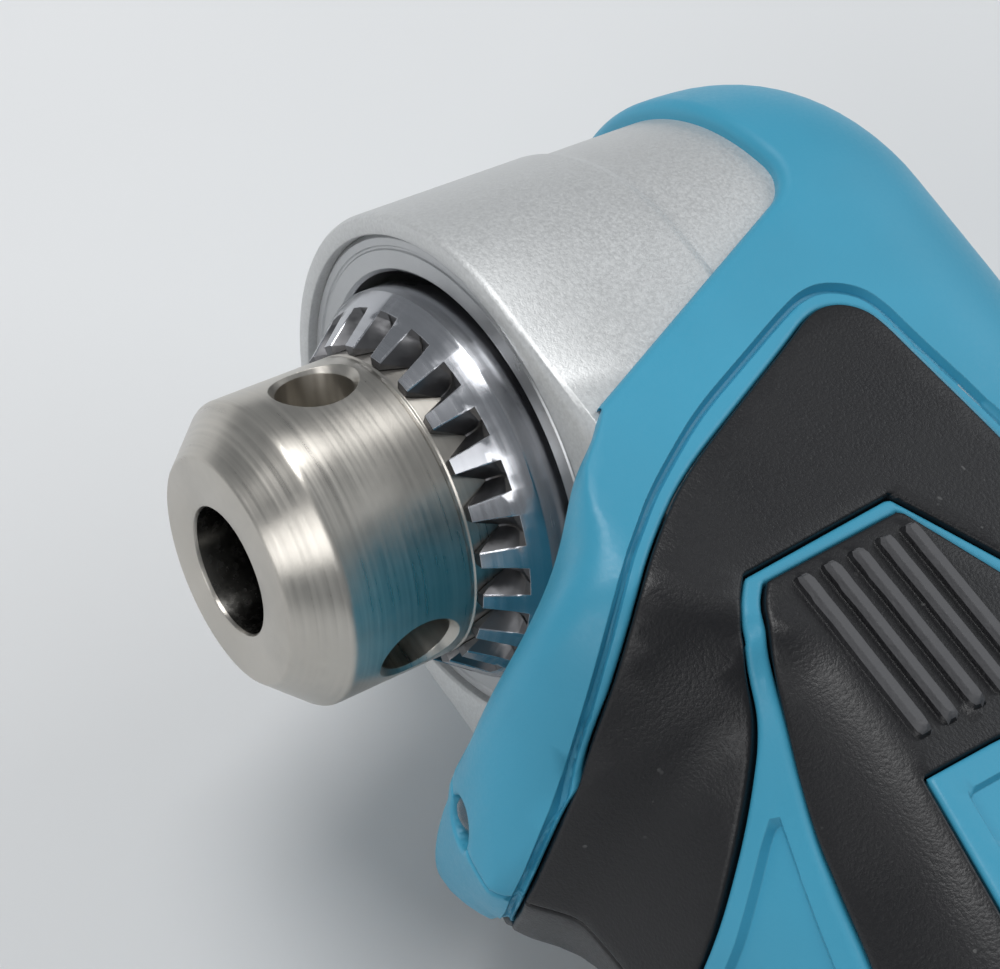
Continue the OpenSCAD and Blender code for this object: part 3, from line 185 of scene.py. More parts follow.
def plastic(name, colour, rough, grain, depth, dust=0.0):
    """Moulded plastic or rubber: spark grain, slow mottling, scuffs and specks of dust."""
    m = Nodes(name)
    slow = m.spread(m.noise(45, 3), 0.3, 0.7)
    base = m.mixed(slow, shaded(colour, 0.93), shaded(colour, 1.07))
    if dust:
        specks = m.spread(m.noise(900, 1), 0.735, 0.77)
        patches = m.spread(m.noise(60, 2), 0.5, 0.7, 0, dust)
        gate = m.add("Math", 0, {0: specks, 1: patches}, operation="MULTIPLY")
        base = m.mixed(gate, base, (0.55, 0.55, 0.54))
    fine = m.noise(grain, 2, 0.6)
    scuffs = m.sum(fine, m.noise(120, 3), 0.8)
    m.set(Base_Color=base, Specular_IOR_Level=0.45,
          Roughness=m.spread(scuffs, 0.5, 1.3, rough - 0.08, rough + 0.1))
    m.bump(fine, depth, 0.00012, EDGE_ROUND)
    return m.material


def cast_metal(name, colour, rough):
    """Blasted casting: bright sparkle, pits and a cloudy tone."""
    m = Nodes(name)
    fine = m.noise(3200, 3, 0.65)
    clouds = m.spread(m.noise(70, 4), 0.3, 0.7)
    tone = m.mixed(clouds, shaded(colour, 0.94), shaded(colour, 1.05))
    base = m.mixed(m.spread(fine, 0.35, 0.68), shaded(colour, 0.86), tone)
    m.set(Base_Color=base, Metallic=0.45, Roughness=m.spread(fine, 0.3, 0.7, rough - 0.07, rough + 0.09))
    m.bump(fine, 0.35, 0.0001, EDGE_ROUND)
    return m.material


def turned_metal(name, colour, rough, lines=1.0, stain=0.25):
    """Turned steel: fine rings about the chuck axis and soft stains."""
    m = Nodes(name)
    stretched = m.add("VectorMath", 0, {0: m.place, 1: RING_SCALE}, operation="MULTIPLY")
    rings = m.noise(1, 2, 0.55, stretched)
    clouds = m.spread(m.noise(130, 4, 0.6), 0.35, 0.7)
    base = m.mixed(clouds, shaded(colour, 1 - stain), shaded(colour, 1.04))
    base = m.mixed(m.spread(rings, 0.35, 0.7), base, colour)
    m.set(Base_Color=base, Metallic=1.0, Anisotropic=0.7, Anisotropic_Rotation=0.25,
          Roughness=m.spread(m.sum(rings, clouds, 0.4), 0.4, 1.0, rough - 0.06, rough + 0.1))
    m.set(Tangent=m.add("Tangent", 0, direction_type="RADIAL", axis="Y"))
    m.bump(rings, 0.12 * lines, 0.00006, 0.12 * MM)
    return m.material


def plain_metal(name, colour, rough):
    """Hidden or dark metal, also the painted shade in the sleeve's gaps and the chuck's bore: a faint grain
    and stains.
    """
    m = Nodes(name)
    fine = m.noise(1500, 3)
    clouds = m.spread(m.noise(150, 3), 0.3, 0.7)
    m.set(Base_Color=m.mixed(clouds, shaded(colour, 0.85), shaded(colour, 1.1)), Metallic=1.0,
          Roughness=m.spread(fine, 0.3, 0.7, rough - 0.05, rough + 0.1))
    m.bump(fine, 0.12, 0.00005, 0.1 * MM)
    return m.material


def lens_material():
    """Clear plastic with a slight ripple."""
    m = Nodes("lens")
    ripple = m.noise(700, 2)
    m.set(Base_Color=m.mixed(m.spread(ripple, 0.3, 0.7), (0.78, 0.8, 0.82), (0.93, 0.94, 0.95)),
          Roughness=0.06, Transmission_Weight=0.95, IOR=1.49)
    m.bump(ripple, 0.1, 0.00005)
    return m.material


def floor_material():
    """Matt, nearly even grey."""
    m = Nodes("floor")
    soft = m.spread(m.noise(6, 4), 0.3, 0.7)
    m.set(Base_Color=m.mixed(soft, (0.76, 0.765, 0.77), (0.8, 0.805, 0.81)), Roughness=0.75)
    m.bump(m.noise(900, 2), 0.03, 0.0001)
    return m.material


# What each kind of look takes after the name of its material slot
LOOK_TABLES = {
    # Colour, roughness, scale and depth of the grain, dust
    plastic: {
        "teal_shell": ((0.05, 0.325, 0.49), 0.42, 2600, 0.1),
        "soft_grip": ((0.006, 0.006, 0.0075), 0.4, 3600, 0.34, 0.4),
        # Rib tops: a lighter rubber than soft_grip, a painted highlight where light falls on the ribs
        "worn_grip": ((0.085, 0.085, 0.09), 0.6, 1500, 0.9, 0.6),
        "black_plastic": ((0.018, 0.018, 0.02), 0.45, 2000, 0.22),
        "red_plastic": ((0.45, 0.03, 0.025), 0.4, 2200, 0.12),
        "carbon": ((0.03, 0.03, 0.03), 0.7, 1500, 0.3),
        "circuit_board": ((0.01, 0.13, 0.05), 0.35, 900, 0.1),
        "cell_sleeve": ((0.04, 0.22, 0.11), 0.25, 600, 0.05),
    },
    # Colour, roughness, depth of the rings, stains
    turned_metal: {
        "chuck_steel": ((0.6, 0.57, 0.52), 0.33, 0.55),
        "polished_steel": ((0.5, 0.51, 0.54), 0.2, 0.5, 0.15),
        "bearing_steel": ((0.5, 0.51, 0.52), 0.33),
    },
    # Colour, roughness
    plain_metal: {
        # The first two here are near black: painted shade in the sleeve's gaps and in the chuck's bore
        "gap_steel": ((0.13, 0.13, 0.135), 0.36), "bore_steel": ((0.1, 0.098, 0.092), 0.22),
        "gear_steel": ((0.42, 0.43, 0.44), 0.32), "dark_steel": ((0.09, 0.09, 0.095), 0.35),
        "magnet": ((0.06, 0.06, 0.065), 0.55), "rotor_core": ((0.33, 0.2, 0.12), 0.42),
    },
    cast_metal: {"cast_case": ((0.66, 0.67, 0.67), 0.42)},
}
LOOKS = {name: make(name, *row) for make, table in LOOK_TABLES.items() for name, row in table.items()}
LOOKS.update(clear_lens=lens_material(), floor=floor_material())


# Mesh helpers

FINE_WELD = 0.0005


def mesh_object(name, points, faces, scale=MM):
    """An object from points and faces; points are in millimetres unless the scale says otherwise."""
    mesh = bpy.data.meshes.new(name)
    mesh.from_pydata((np.asarray(points, float) * scale).tolist(), [], [tuple(f) for f in faces])
    mesh.validate()
    made = bpy.data.objects.new(name, mesh)
    bpy.context.scene.collection.objects.link(made)
    return made


def shade(mesh, sharp):
    """Smooth shading, with edges above the given angle kept sharp."""
    mesh.shade_smooth()
    mesh.set_sharp_from_angle(angle=math.radians(sharp))


@contextmanager
def editing(made, sharp):
    """Opens an object's mesh for changes, then writes it back and shades it."""
    work = bmesh.new()
    work.from_mesh(made.data)
    yield work
    work.to_mesh(made.data)
    work.free()
    shade(made.data, sharp)


def weld(work, distance, thin=None):
    """Joins points closer than the distance, drops thin faces and turns the rest outwards."""
    bmesh.ops.remove_doubles(work, verts=work.verts, dist=distance * MM)
    if thin:
        bmesh.ops.dissolve_degenerate(work, edges=work.edges, dist=thin * MM)
    bmesh.ops.recalc_face_normals(work, faces=work.faces)


def place(piece, body, slot, *nodes, second=None):
    """Rides a piece on its body in place of CAD nodes, in its slot's look and maybe a second one."""
    for look in filter(None, (slot, second)):
        piece.data.materials.append(LOOKS[look])
    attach(piece, body)
    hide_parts(*nodes)


def signed_distance(points, outline):
    """Distance of flat points to a closed outline, positive inside."""
    points = np.asarray(points, float)
    best = np.full(len(points), np.inf)
    inside = np.zeros(len(points), bool)
    outline = np.asarray(outline, float)
    for a, b in zip(outline, np.roll(outline, -1, axis=0)):
        edge = b - a
        offset = points - a
        along = np.clip(offset @ edge / max(edge @ edge, 1e-12), 0, 1)
        best = np.minimum(best, np.hypot(*(offset - along[:, None] * edge).T))
        crosses = (a[1] > points[:, 1]) != (b[1] > points[:, 1])
        with np.errstate(divide="ignore", invalid="ignore"):
            inside ^= crosses & (offset[:, 0] < offset[:, 1] * edge[0] / edge[1])
    return np.where(inside, best, -best)


def softened(outline, sharp=38, rounds=2):
    """Rounds the gentle bends of an outline and keeps its real corners."""
    points = [np.array(p, float) for p in outline]
    corner = []
    for i, p in enumerate(points):
        before, after = p - points[i - 1], points[(i + 1) % len(points)] - p
        turn = before @ after / np.linalg.norm(before) / np.linalg.norm(after)
        corner.append(math.degrees(math.acos(np.clip(turn, -1, 1))) > sharp)
    for _ in range(rounds):
        out, flags = [], []
        for i, p in enumerate(points):
            before, after = points[i - 1], points[(i + 1) % len(points)]
            if corner[i]:
                out.append(p)
                flags.append(True)
            else:
                out += [0.75 * p + 0.25 * before, 0.75 * p + 0.25 * after]
                flags += [False, False]
        points, corner = out, flags
    return np.array(points)


def smooth_curve(xs, ys):
    """Monotone cubic through the given places, as a function."""
    xs, ys = np.asarray(xs, float), np.asarray(ys, float)
    h = np.diff(xs)
    d = np.diff(ys) / h
    m = np.zeros(len(xs))
    m[0], m[-1] = d[0], d[-1]
    for i in range(1, len(xs) - 1):
        if d[i - 1] * d[i] > 0:
            w1, w2 = 2 * h[i] + h[i - 1], h[i] + 2 * h[i - 1]
            m[i] = (w1 + w2) / (w1 / d[i - 1] + w2 / d[i])

    def curve(x):
        i = np.clip(np.searchsorted(xs, x) - 1, 0, len(h) - 1)
        t = np.clip((x - xs[i]) / h[i], 0, 1)
        return ((1 + 2 * t) * (1 - t) ** 2 * ys[i] + t * (1 - t) ** 2 * h[i] * m[i]
                + t * t * (3 - 2 * t) * ys[i + 1] + t * t * (t - 1) * h[i] * m[i + 1])
    return curve


# Body form, with the part's own sizes

HEAD_TOP, HEAD_R, CHIN_Y = 70.43, 24.35, 3.5
GRIP_X, FOOT_X = 140.0, 236.0
GRIP_TOP, GRIP_BOTTOM, GRIP_HALF = 60.58, 13.48, 23.5
PACK_Y, PACK_LEN, PACK_W = 35.03, 114.0, 75.0
FOOT_REACH, FOOT_HALF = 48.45, 34.88
FOOT_TOP, FOOT_BOTTOM = PACK_Y + FOOT_REACH, PACK_Y - FOOT_REACH
CASE_Y, CASE_R = 20.7, 23.25
# Place along the handle, then height, depth and width between grip (0) and head or chin (1), then the
# keel's height and sharpness
FRONT = [
    (0, 1, -0.72, 1, -0.39, 0), (0.086, 0.93, -0.69, 1.045, -0.39, 0), (0.115, 0.9, -0.265, 1.108, -0.37, 0),
    (0.145, 0.87, 0.13, 1.18, -0.2, 0.05), (0.157, 0.857, 0.36, 1.21, 0, 0.1),
    (0.172, 0.84, 0.73, 1.252, 0.2, 0.2), (0.2, 0.8, 0.9, 1.306, 0.5, 0.55),
    (0.218, 0.78, 0.98, 1.33, 0.72, 0.8), (0.236, 0.755, 1, 1.365, 0.88, 1),
    (0.252, 0.735, 0.82, 1.385, 0.88, 1), (0.28, 0.7, 0.5, 1.415, 0.68, 1), (0.36, 0.6, 0.4, 1.45, 0.6, 0.9),
    (0.45, 0.48, 0.28, 1.36, 0.5, 0.5), (0.57, 0.32, 0.14, 0.95, 0.42, 0.2), (0.78, 0.12, 0.04, 0.4, 0.4, 0),
]
# Place between grip and battery face, then height, depth and width between grip (0) and foot (1)
REAR = [
    (0, 0, 0, 0), (0.3, 0.01, 0, 0.01), (0.52, 0.05, 0.04, 0.09), (0.68, 0.17, 0.16, 0.28),
    (0.8, 0.42, 0.42, 0.55), (0.9, 0.76, 0.78, 0.84), (1, 1, 1, 1),
]
CROWN_H, CHIN_ROUND, KEEL_H, GRIP_ROUND = 18.5, 7.0, 21.0, 13.0
CROWN_POWER, KEEL_POWER, FOOT_POWER, KEEL_SOFT = 2.45, 1.2, 4.5, 0.4


def mix(a, b, t):
    return a + (b - a) * t


def body_stations():
    """Curves of the section's sizes along the handle."""
    rows = [(GRIP_X * s[0], mix(GRIP_TOP, HEAD_TOP, s[1]), mix(GRIP_BOTTOM, CHIN_Y, s[2]),
             mix(GRIP_HALF, HEAD_R, s[3]), CROWN_H, mix(CHIN_ROUND, KEEL_H, s[4]),
             CROWN_POWER, mix(CROWN_POWER, KEEL_POWER, s[5])) for s in FRONT]
    rows += [(mix(GRIP_X, FOOT_X, s[0]), mix(GRIP_TOP, FOOT_TOP, s[1]), mix(GRIP_BOTTOM, FOOT_BOTTOM, s[2]),
              mix(GRIP_HALF, FOOT_HALF, s[3]), mix(CROWN_H, GRIP_ROUND, s[1]), GRIP_ROUND,
              mix(CROWN_POWER, FOOT_POWER, s[1]), mix(CROWN_POWER, FOOT_POWER, s[1])) for s in REAR]
    rows = np.array(rows)
    return [smooth_curve(rows[:, 0], rows[:, k]) for k in range(1, 8)]


class BodySurface:
    """The left half's outer surface over a flat chart: u along the handle, v round the section.

    Ahead of the chuck axis, u is the arc round the head; v runs from the back of the body to its underside.
    """
    girth = 96.0
    arc_shares = (0.36, 0.68)

    def __init__(self):
        self.curves = body_stations()
        self.first = -HEAD_R * math.pi / 2

    def points(self, u, v):
        u, s = np.asarray(u, float), np.clip(np.asarray(v, float) / self.girth, 0, 1)
        top, low, half, up, down, power, under = (c(np.maximum(u, 0)) for c in self.curves)
        down = np.minimum(down, top - up - low)
        first, second = self.arc_shares
        a = np.where(s < first, s / first, np.where(s > second, (1 - s) / (1 - second), 1)) * math.pi / 2
        out = half * np.sin(a) ** (2 / np.where(s > second, under, power))
        rise = np.maximum(np.cos(a), 0) ** (2 / np.where(s > second, mix(under, power, KEEL_SOFT), power))
        level = mix(top - up, low + down, np.clip((s - first) / (second - first), 0, 1))
        y = level + np.where(s < first, up * rise, np.where(s > second, -down * rise, 0))
        turn = np.where(u < 0, -u / HEAD_R, 0)
        return np.stack([np.where(u < 0, -out * np.sin(turn), u), y, out * np.cos(turn)], axis=-1)

    def normals(self, u, v):
        step_u, step_v = 0.05, 0.02
        along = self.points(u + step_u, v) - self.points(u - step_u, v)
        after, before = np.minimum(v + step_v, self.girth), np.maximum(v - step_v, 0)
        across = self.points(u, after) - self.points(u, before)
        n = np.cross(across, along)
        size = np.linalg.norm(n, axis=-1, keepdims=True)
        return np.where(size > 1e-7, n / np.maximum(size, 1e-7), (0, 1, 0))


BODY = BodySurface()

# Side outlines, as shares of the grip's distance and the head's height; the wedge is in millimetres
SIDE = np.array([GRIP_X, HEAD_TOP])
FRONT_PAD = [
    (0.262, 0.03), (0.253, 0.077), (0.247, 0.096), (0.238, 0.118), (0.23, 0.134), (0.218, 0.161),
    (0.192, 0.209), (0.164, 0.275), (0.14, 0.346), (0.117, 0.448), (0.094, 0.552), (0.08, 0.61),
    (0.082, 0.644), (0.091, 0.667), (0.103, 0.677), (0.131, 0.682), (0.195, 0.695), (0.3, 0.712),
    (0.38, 0.716), (0.33, 0.668), (0.256, 0.589), (0.201, 0.529), (0.207, 0.323), (0.219, 0.3),
    (0.236, 0.28), (0.252, 0.271), (0.266, 0.264), (0.277, 0.253), (0.289, 0.237), (0.301, 0.22),
    (0.313, 0.202), (0.336, 0.166), (0.35, 0.133), (0.362, 0.03),
]
LEDGE = [
    (0.256, 0.02), (0.248, 0.07), (0.242, 0.085), (0.232, 0.109), (0.225, 0.122), (0.212, 0.145),
    (0.192, 0.18), (0.174, 0.216), (0.146, 0.285), (0.13, 0.335), (0.11, 0.403), (0.093, 0.484),
    (0.071, 0.589), (0.067, 0.623), (0.069, 0.65), (0.078, 0.679), (0.092, 0.694), (0.121, 0.699),
    (0.182, 0.716), (0.3, 0.735), (0.42, 0.742), (0.38, 0.716), (0.4, -0.113),
]
RIBBED_PAD = [
    (0.211, 0.526), (0.215, 0.339), (0.224, 0.321), (0.24, 0.304), (0.257, 0.292), (0.277, 0.28),
    (0.296, 0.268), (0.315, 0.257), (0.337, 0.246), (0.36, 0.238), (0.387, 0.228), (0.412, 0.217),
    (0.437, 0.198), (0.458, 0.163), (0.473, 0.1), (0.482, 0), (0.49, -0.1), (1.36, -0.1), (1.38, 0.2),
    (1.4, 0.44), (1.38, 0.6), (1.34, 0.66), (1.28, 0.69), (1, 0.69), (0.7, 0.7), (0.46, 0.708),
    (0.41, 0.7), (0.36, 0.66), (0.264, 0.574),
]
WINDOW = [
    (0.343, 0.343), (0.343, 0.5), (0.356, 0.535), (0.6, 0.535), (0.64, 0.46), (0.612, 0.29), (0.59, 0.27),
]
WEDGE = [(42.7, 17.0), (44.5, 15.3), (46.3, 13.9), (48.2, 12.4), (53.0, 7.5), (66.0, 7.5), (61.0, 12.4),
         (56.3, 14.4), (52.2, 15.2), (48.0, 16.0)]
RIB_Y = (0.373, 0.4085, 0.445, 0.482, 0.517)
RIB_X = (0.222, 0.325)
RIB_W, RIB_H = 1.3, 0.8
CASE_EDGE = ((12.24, 20.7), (0.25, 47.9))
CASE_LEVEL, CASE_EDGE_ROUND = 50.15, 5.0


def side_outline(shares):
    return softened(np.array(shares) * SIDE)


def case_outline():
    """Side region where the casting shows: a slanted edge with a rounded upper corner."""
    foot, neck = (np.array(p) for p in CASE_EDGE)
    lean = (neck - foot) / (neck[1] - foot[1])
    corner = foot + lean * (CASE_LEVEL - foot[1])
    low = foot + lean * (0 - foot[1])
    a, b = np.array([-1.0, 0.0]), (low - corner) / np.linalg.norm(low - corner)
    half = math.acos(a @ b) / 2
    centre = corner + (a + b) / np.linalg.norm(a + b) * CASE_EDGE_ROUND / math.sin(half)
    start = corner + a * CASE_EDGE_ROUND / math.tan(half) - centre
    end = corner + b * CASE_EDGE_ROUND / math.tan(half) - centre
    arc = [start * (1 - t) + end * t for t in np.linspace(0, 1, 13)]
    arc = [centre + p / np.linalg.norm(p) * CASE_EDGE_ROUND for p in arc]
    return np.array([(-60, CASE_LEVEL), *arc, tuple(low), (-60, 0)])


OUTLINES = {
    "case": case_outline(), "front_pad": side_outline(FRONT_PAD), "ledge": side_outline(LEDGE),
    "ribbed_pad": side_outline(RIBBED_PAD), "window": side_outline(WINDOW), "wedge": np.array(WEDGE),
}
TRIGGER_SLOT = (62.5, 132.1, 10.9)
LIGHT_X, LIGHT_R = 27.44, 2.0
SELECTOR, SELECTOR_ROUND = (126.5, 46.0, 5.6, 3.1), 2.0
SEAM, PAD_GAP = 0.03, 0.07
MOUTH_END, MOUTH_CORNER, MOUTH_WALL = 20.3, 9.0, 1.7
# Share of the girth where the underside starts, the highest places of two openings, the width at which
# the side with the ribs starts, and a distance far outside
UNDER, TRIGGER_TOP, MOUTH_TOP, RIB_SIDE, OUTSIDE = 0.6, 22, 22.5, 15, -50
# Distances from an outline at which its relief starts or ends
LEDGE_LEVELS, RIB_LEVELS = (-0.1, 0.12, 0.4, 0.62), (-0.15, 0.05, 0.3)
WINDOW_LEVELS, WEDGE_LEVELS = (2.2, 2.5), (0, 0.3)
LEDGE_DROP, GROOVE_DEEP, WINDOW_DEEP, WEDGE_DEEP = 0.45, 0.8, 0.45, 0.7


def mouth_side(x):
    """Half width of the chin's mouth, where its side wall starts."""
    return BODY.curves[2](np.maximum(x, 0)) - MOUTH_WALL


def mouth_field(x, z):
    """Positive inside the mouth: an opening with a rounded end that leaves a thin wall at the side."""
    a, b = x - MOUTH_END + MOUTH_CORNER, z - mouth_side(x) + MOUTH_CORNER
    return MOUTH_CORNER - np.hypot(np.maximum(a, 0), np.maximum(b, 0)) - np.minimum(np.maximum(a, b), 0)


def fields(u, v):
    """Signed distances of chart points to each outline of the body, positive inside it."""
    p = BODY.points(u, v)
    side = p[:, :2]
    found = {name: signed_distance(side, outline) for name, outline in OUTLINES.items()}
    under = v > BODY.girth * UNDER
    x0, x1, half = TRIGGER_SLOT
    slot = np.minimum(np.minimum(p[:, 0] - x0, x1 - p[:, 0]), half - p[:, 2])
    found["trigger"] = np.where(under & (p[:, 1] < TRIGGER_TOP), slot, OUTSIDE)
    found["mouth"] = np.where(under & (p[:, 1] < MOUTH_TOP), mouth_field(p[:, 0], p[:, 2]), OUTSIDE)
    found["light"] = np.where(under, LIGHT_R - np.hypot(p[:, 0] - LIGHT_X, p[:, 2]), OUTSIDE)
    x, y, a, b = SELECTOR
    corner = np.maximum(np.abs(side - (x, y)) - (a - SELECTOR_ROUND, b - SELECTOR_ROUND), 0)
    found["selector"] = SELECTOR_ROUND - np.hypot(*corner.T)
    found["side"] = side
    found["seam"] = SEAM - p[:, 2]
    found["end"] = p[:, 0] - FOOT_X + SEAM
    length = np.minimum(p[:, 0] - RIB_X[0] * GRIP_X, RIB_X[1] * GRIP_X - p[:, 0])
    ribs = [np.minimum(RIB_W / 2 - np.abs(p[:, 1] - s * HEAD_TOP), length) for s in RIB_Y]
    found["ribs"] = np.where(p[:, 2] > RIB_SIDE, np.max(ribs, axis=0), OUTSIDE)
    return found


def step(x, low, high):
    """Smooth rise from 0 to 1 between two values."""
    t = np.clip((x - low) / (high - low), 0, 1)
    return t * t * (3 - 2 * t)


def shell_region(f):
    """Where the teal shell shows: outside the casting, the pads and every opening."""
    pads = np.maximum(f["front_pad"], np.minimum(f["ribbed_pad"], -f["window"]))
    gaps = [f[k] for k in ("case", "trigger", "mouth", "light", "selector", "seam", "end")]
    return -np.max([pads + PAD_GAP, *gaps], axis=0)


def shell_relief(f):
    """The ledge round the pads, with a groove at its outer side, and two shallow recesses."""
    ledge = f["ledge"]
    groove = step(ledge, *LEDGE_LEVELS[:2]) * (1 - step(ledge, *LEDGE_LEVELS[2:]))
    along, high = (f["side"] / SIDE).T
    shown = 1 - step(along, 0.3, 0.36) * (1 - step(high, 0.55, 0.62))
    recess = WINDOW_DEEP * step(f["window"], *WINDOW_LEVELS) + WEDGE_DEEP * step(f["wedge"], *WEDGE_LEVELS)
    return -shown * (LEDGE_DROP * step(ledge, 0.3, 0.6) + GROOVE_DEEP * groove) - recess


def front_pad_region(f):
    return np.min([f["front_pad"] - PAD_GAP, -f["seam"], -f["trigger"], -f["mouth"]], axis=0)


def ribbed_pad_region(f):
    openings = [-f[k] for k in ("seam", "trigger", "selector")]
    return np.min([f["ribbed_pad"] - PAD_GAP, -f["window"] - PAD_GAP, *openings], axis=0)


def ribbed_pad_relief(f):
    return RIB_H * step(f["ribs"], RIB_LEVELS[0], RIB_LEVELS[-1])


def contour(grid_u, grid_v, values, level):
    """Segments of a level line over the chart's grid, as point pairs."""
    a = values - level
    segments = []
    corners = [a[:-1, :-1], a[1:, :-1], a[:-1, 1:], a[1:, 1:]]
    cells = np.argwhere((np.minimum.reduce(corners) < 0) & (np.maximum.reduce(corners) >= 0))
    for i, j in cells:
        ring = [(i, j), (i + 1, j), (i + 1, j + 1), (i, j + 1)]
        hits = []
        for p, q in zip(ring, ring[1:] + ring[:1]):
            if (a[p] < 0) != (a[q] < 0):
                key = (min(p, q), max(p, q))
                (i0, j0), (i1, j1) = key
                t = a[key[0]] / (a[key[0]] - a[key[1]])
                hits.append((key, (mix(grid_u[i0], grid_u[i1], t), mix(grid_v[j0], grid_v[j1], t))))
        for k in range(0, len(hits) - 1, 2):
            segments.append((hits[k], hits[k + 1]))
    return segments


def chains(segments):
    """Joins segments into lines, each a list of points."""
    spots, next_to = {}, {}
    for (ka, pa), (kb, pb) in segments:
        spots[ka], spots[kb] = pa, pb
        next_to.setdefault(ka, []).append(kb)
        next_to.setdefault(kb, []).append(ka)
    lines, left = [], set(spots)
    starts = [k for k in spots if len(next_to[k]) == 1] + list(spots)
    for start in starts:
        if start not in left:
            continue
        line, here = [], start
        while here is not None:
            left.discard(here)
            line.append(spots[here])
            ahead = [k for k in next_to[here] if k in left]
            closing = start in next_to[here] and len(line) > 2
            here = ahead[0] if ahead else None
        if closing:
            line.append(spots[start])
        lines.append(np.array(line))
    return lines


def resampled(line, spacing):
    """The same line with evenly spaced points."""
    lengths = np.concatenate([[0], np.cumsum(np.hypot(*np.diff(line, axis=0).T))])
    count = max(2, int(round(lengths[-1] / spacing)) + 1)
    at = np.linspace(0, lengths[-1], count)
    return np.stack([np.interp(at, lengths, line[:, k]) for k in (0, 1)], axis=1)


PAD_EDGES, PAD_ROUND, PAD_WALL = (0.0, 0.06, 0.16, 0.35), 0.35, 1.4
SHELL_EDGES, SHELL_WALL = (0.0, 0.05, 0.14, 0.28, 0.45, 0.75, 1.1), 2.6
GRID_STEP, GRID_ROWS, LINE_STEP, LATTICE, MASKED = 0.45, 215, 0.55, 1.7, -90


def pad_round(f):
    return np.full(len(f["seam"]), PAD_ROUND)


def shell_round(f):
    """Edge radius of the shell: wide at the casting and the mouth, narrow at the pads and seams."""
    return 0.4 + 0.7 * step(np.maximum(f["case"], f["mouth"]), -3.6, -1.8)


def skin(name, region, relief, rows, thickness, edges, edge_round, span, holes, flip):
    """Cuts a piece of the body's surface, gives it rounded edges, relief and thickness."""
    grid_u = np.arange(span[0], span[1] + 0.25, GRID_STEP)
    grid_v = np.linspace(0, BODY.girth, GRID_ROWS)
    uu, vv = np.meshgrid(grid_u, grid_v, indexing="ij")
    levels = [(field, level) for field, heights in rows for level in heights]

    def measure(u, v):
        f = fields(u, v)
        inside = region(f)
        for x, y, r in holes:
            inside = np.minimum(inside, np.hypot(f["side"][:, 0] - x, f["side"][:, 1] - y) - r)
        return f, inside

    f, inside = measure(uu.ravel(), vv.ravel())
    lines = []
    for level in edges:
        lines += chains(contour(grid_u, grid_v, inside.reshape(uu.shape), level))
    for field, level in levels:
        masked = np.where(inside > 0.3, f[field], MASKED).reshape(uu.shape)
        lines += [line for line in chains(contour(grid_u, grid_v, masked, level)) if len(line) > 3]
    points, links = [], []
    for line in lines:
        line = resampled(line, LINE_STEP)
        start = len(points)
        points += line.tolist()
        links += [(start + k, start + k + 1) for k in range(len(line) - 1)]
    u, v = np.meshgrid(np.arange(*span, LATTICE), np.arange(0, BODY.girth, LATTICE), indexing="ij")
    v[::2] += LATTICE / 2
    u, v = u.ravel(), np.minimum(v.ravel(), BODY.girth)
    f, inside = measure(u, v)
    keep = inside > edges[-1] + 0.35
    for field, level in levels:
        keep &= np.abs(f[field] - level) > 0.4
    points += np.stack([u[keep], v[keep]], axis=1).tolist()
    flat, _, triangles, *_ = delaunay_2d_cdt([Vector(p) for p in points], links, [], 0, 1e-5)
    flat = np.array([tuple(p) for p in flat])
    triangles = np.array(triangles)
    corners = flat[triangles]
    _, inside = measure(*corners.mean(axis=1).T)
    longest = np.max(np.linalg.norm(corners - np.roll(corners, 1, axis=1), axis=2), axis=1)
    triangles = triangles[(inside > 0.0) & (longest < 3 * LATTICE)]
    used, triangles = np.unique(triangles, return_inverse=True)
    u, v = flat[used].T
    f, inside = measure(u, v)
    base, normal = BODY.points(u, v), BODY.normals(u, v)
    radius = edge_round(f)
    d = np.clip(inside, 0, radius)
    lift = np.sqrt(np.maximum(radius ** 2 - (radius - d) ** 2, 0)) - radius
    outer = base + normal * (lift + relief(f))[:, None]
    return close_skin(name, outer, base - normal * thickness, triangles.reshape(-1, 3), flip)


def close_skin(name, outer, inner, triangles, flip):
    """Adds an inner face and walls to an open sheet; flip makes the right half of a left one."""
    count = len(outer)
    faces = triangles.tolist()
    edges = dict.fromkeys(e for a, b, c in faces for e in ((a, b), (b, c), (c, a)))
    border = [(a, b) for a, b in edges if (b, a) not in edges]
    closed = faces + [[c + count, b + count, a + count] for a, b, c in faces]
    closed += [[b, a, a + count, b + count] for a, b in border]
    points = np.concatenate([outer, inner]) * (1, 1, -1 if flip else 1)
    made = mesh_object(name, points, closed)
    with editing(made, 50) as work:
        weld(work, 0.004)
    return made


SCREWS = np.array([
    (0.375, 0.845), (0.229, 0.227), (1.04, 0.735), (1.17, 0.29), (1.42, 0.735), (1.42, 0.29), (1.63, 0.9),
    (1.63, 0.2)]) * SIDE
SCREW_WELL_R, SCREW_SEAT = 3.0, -12.93


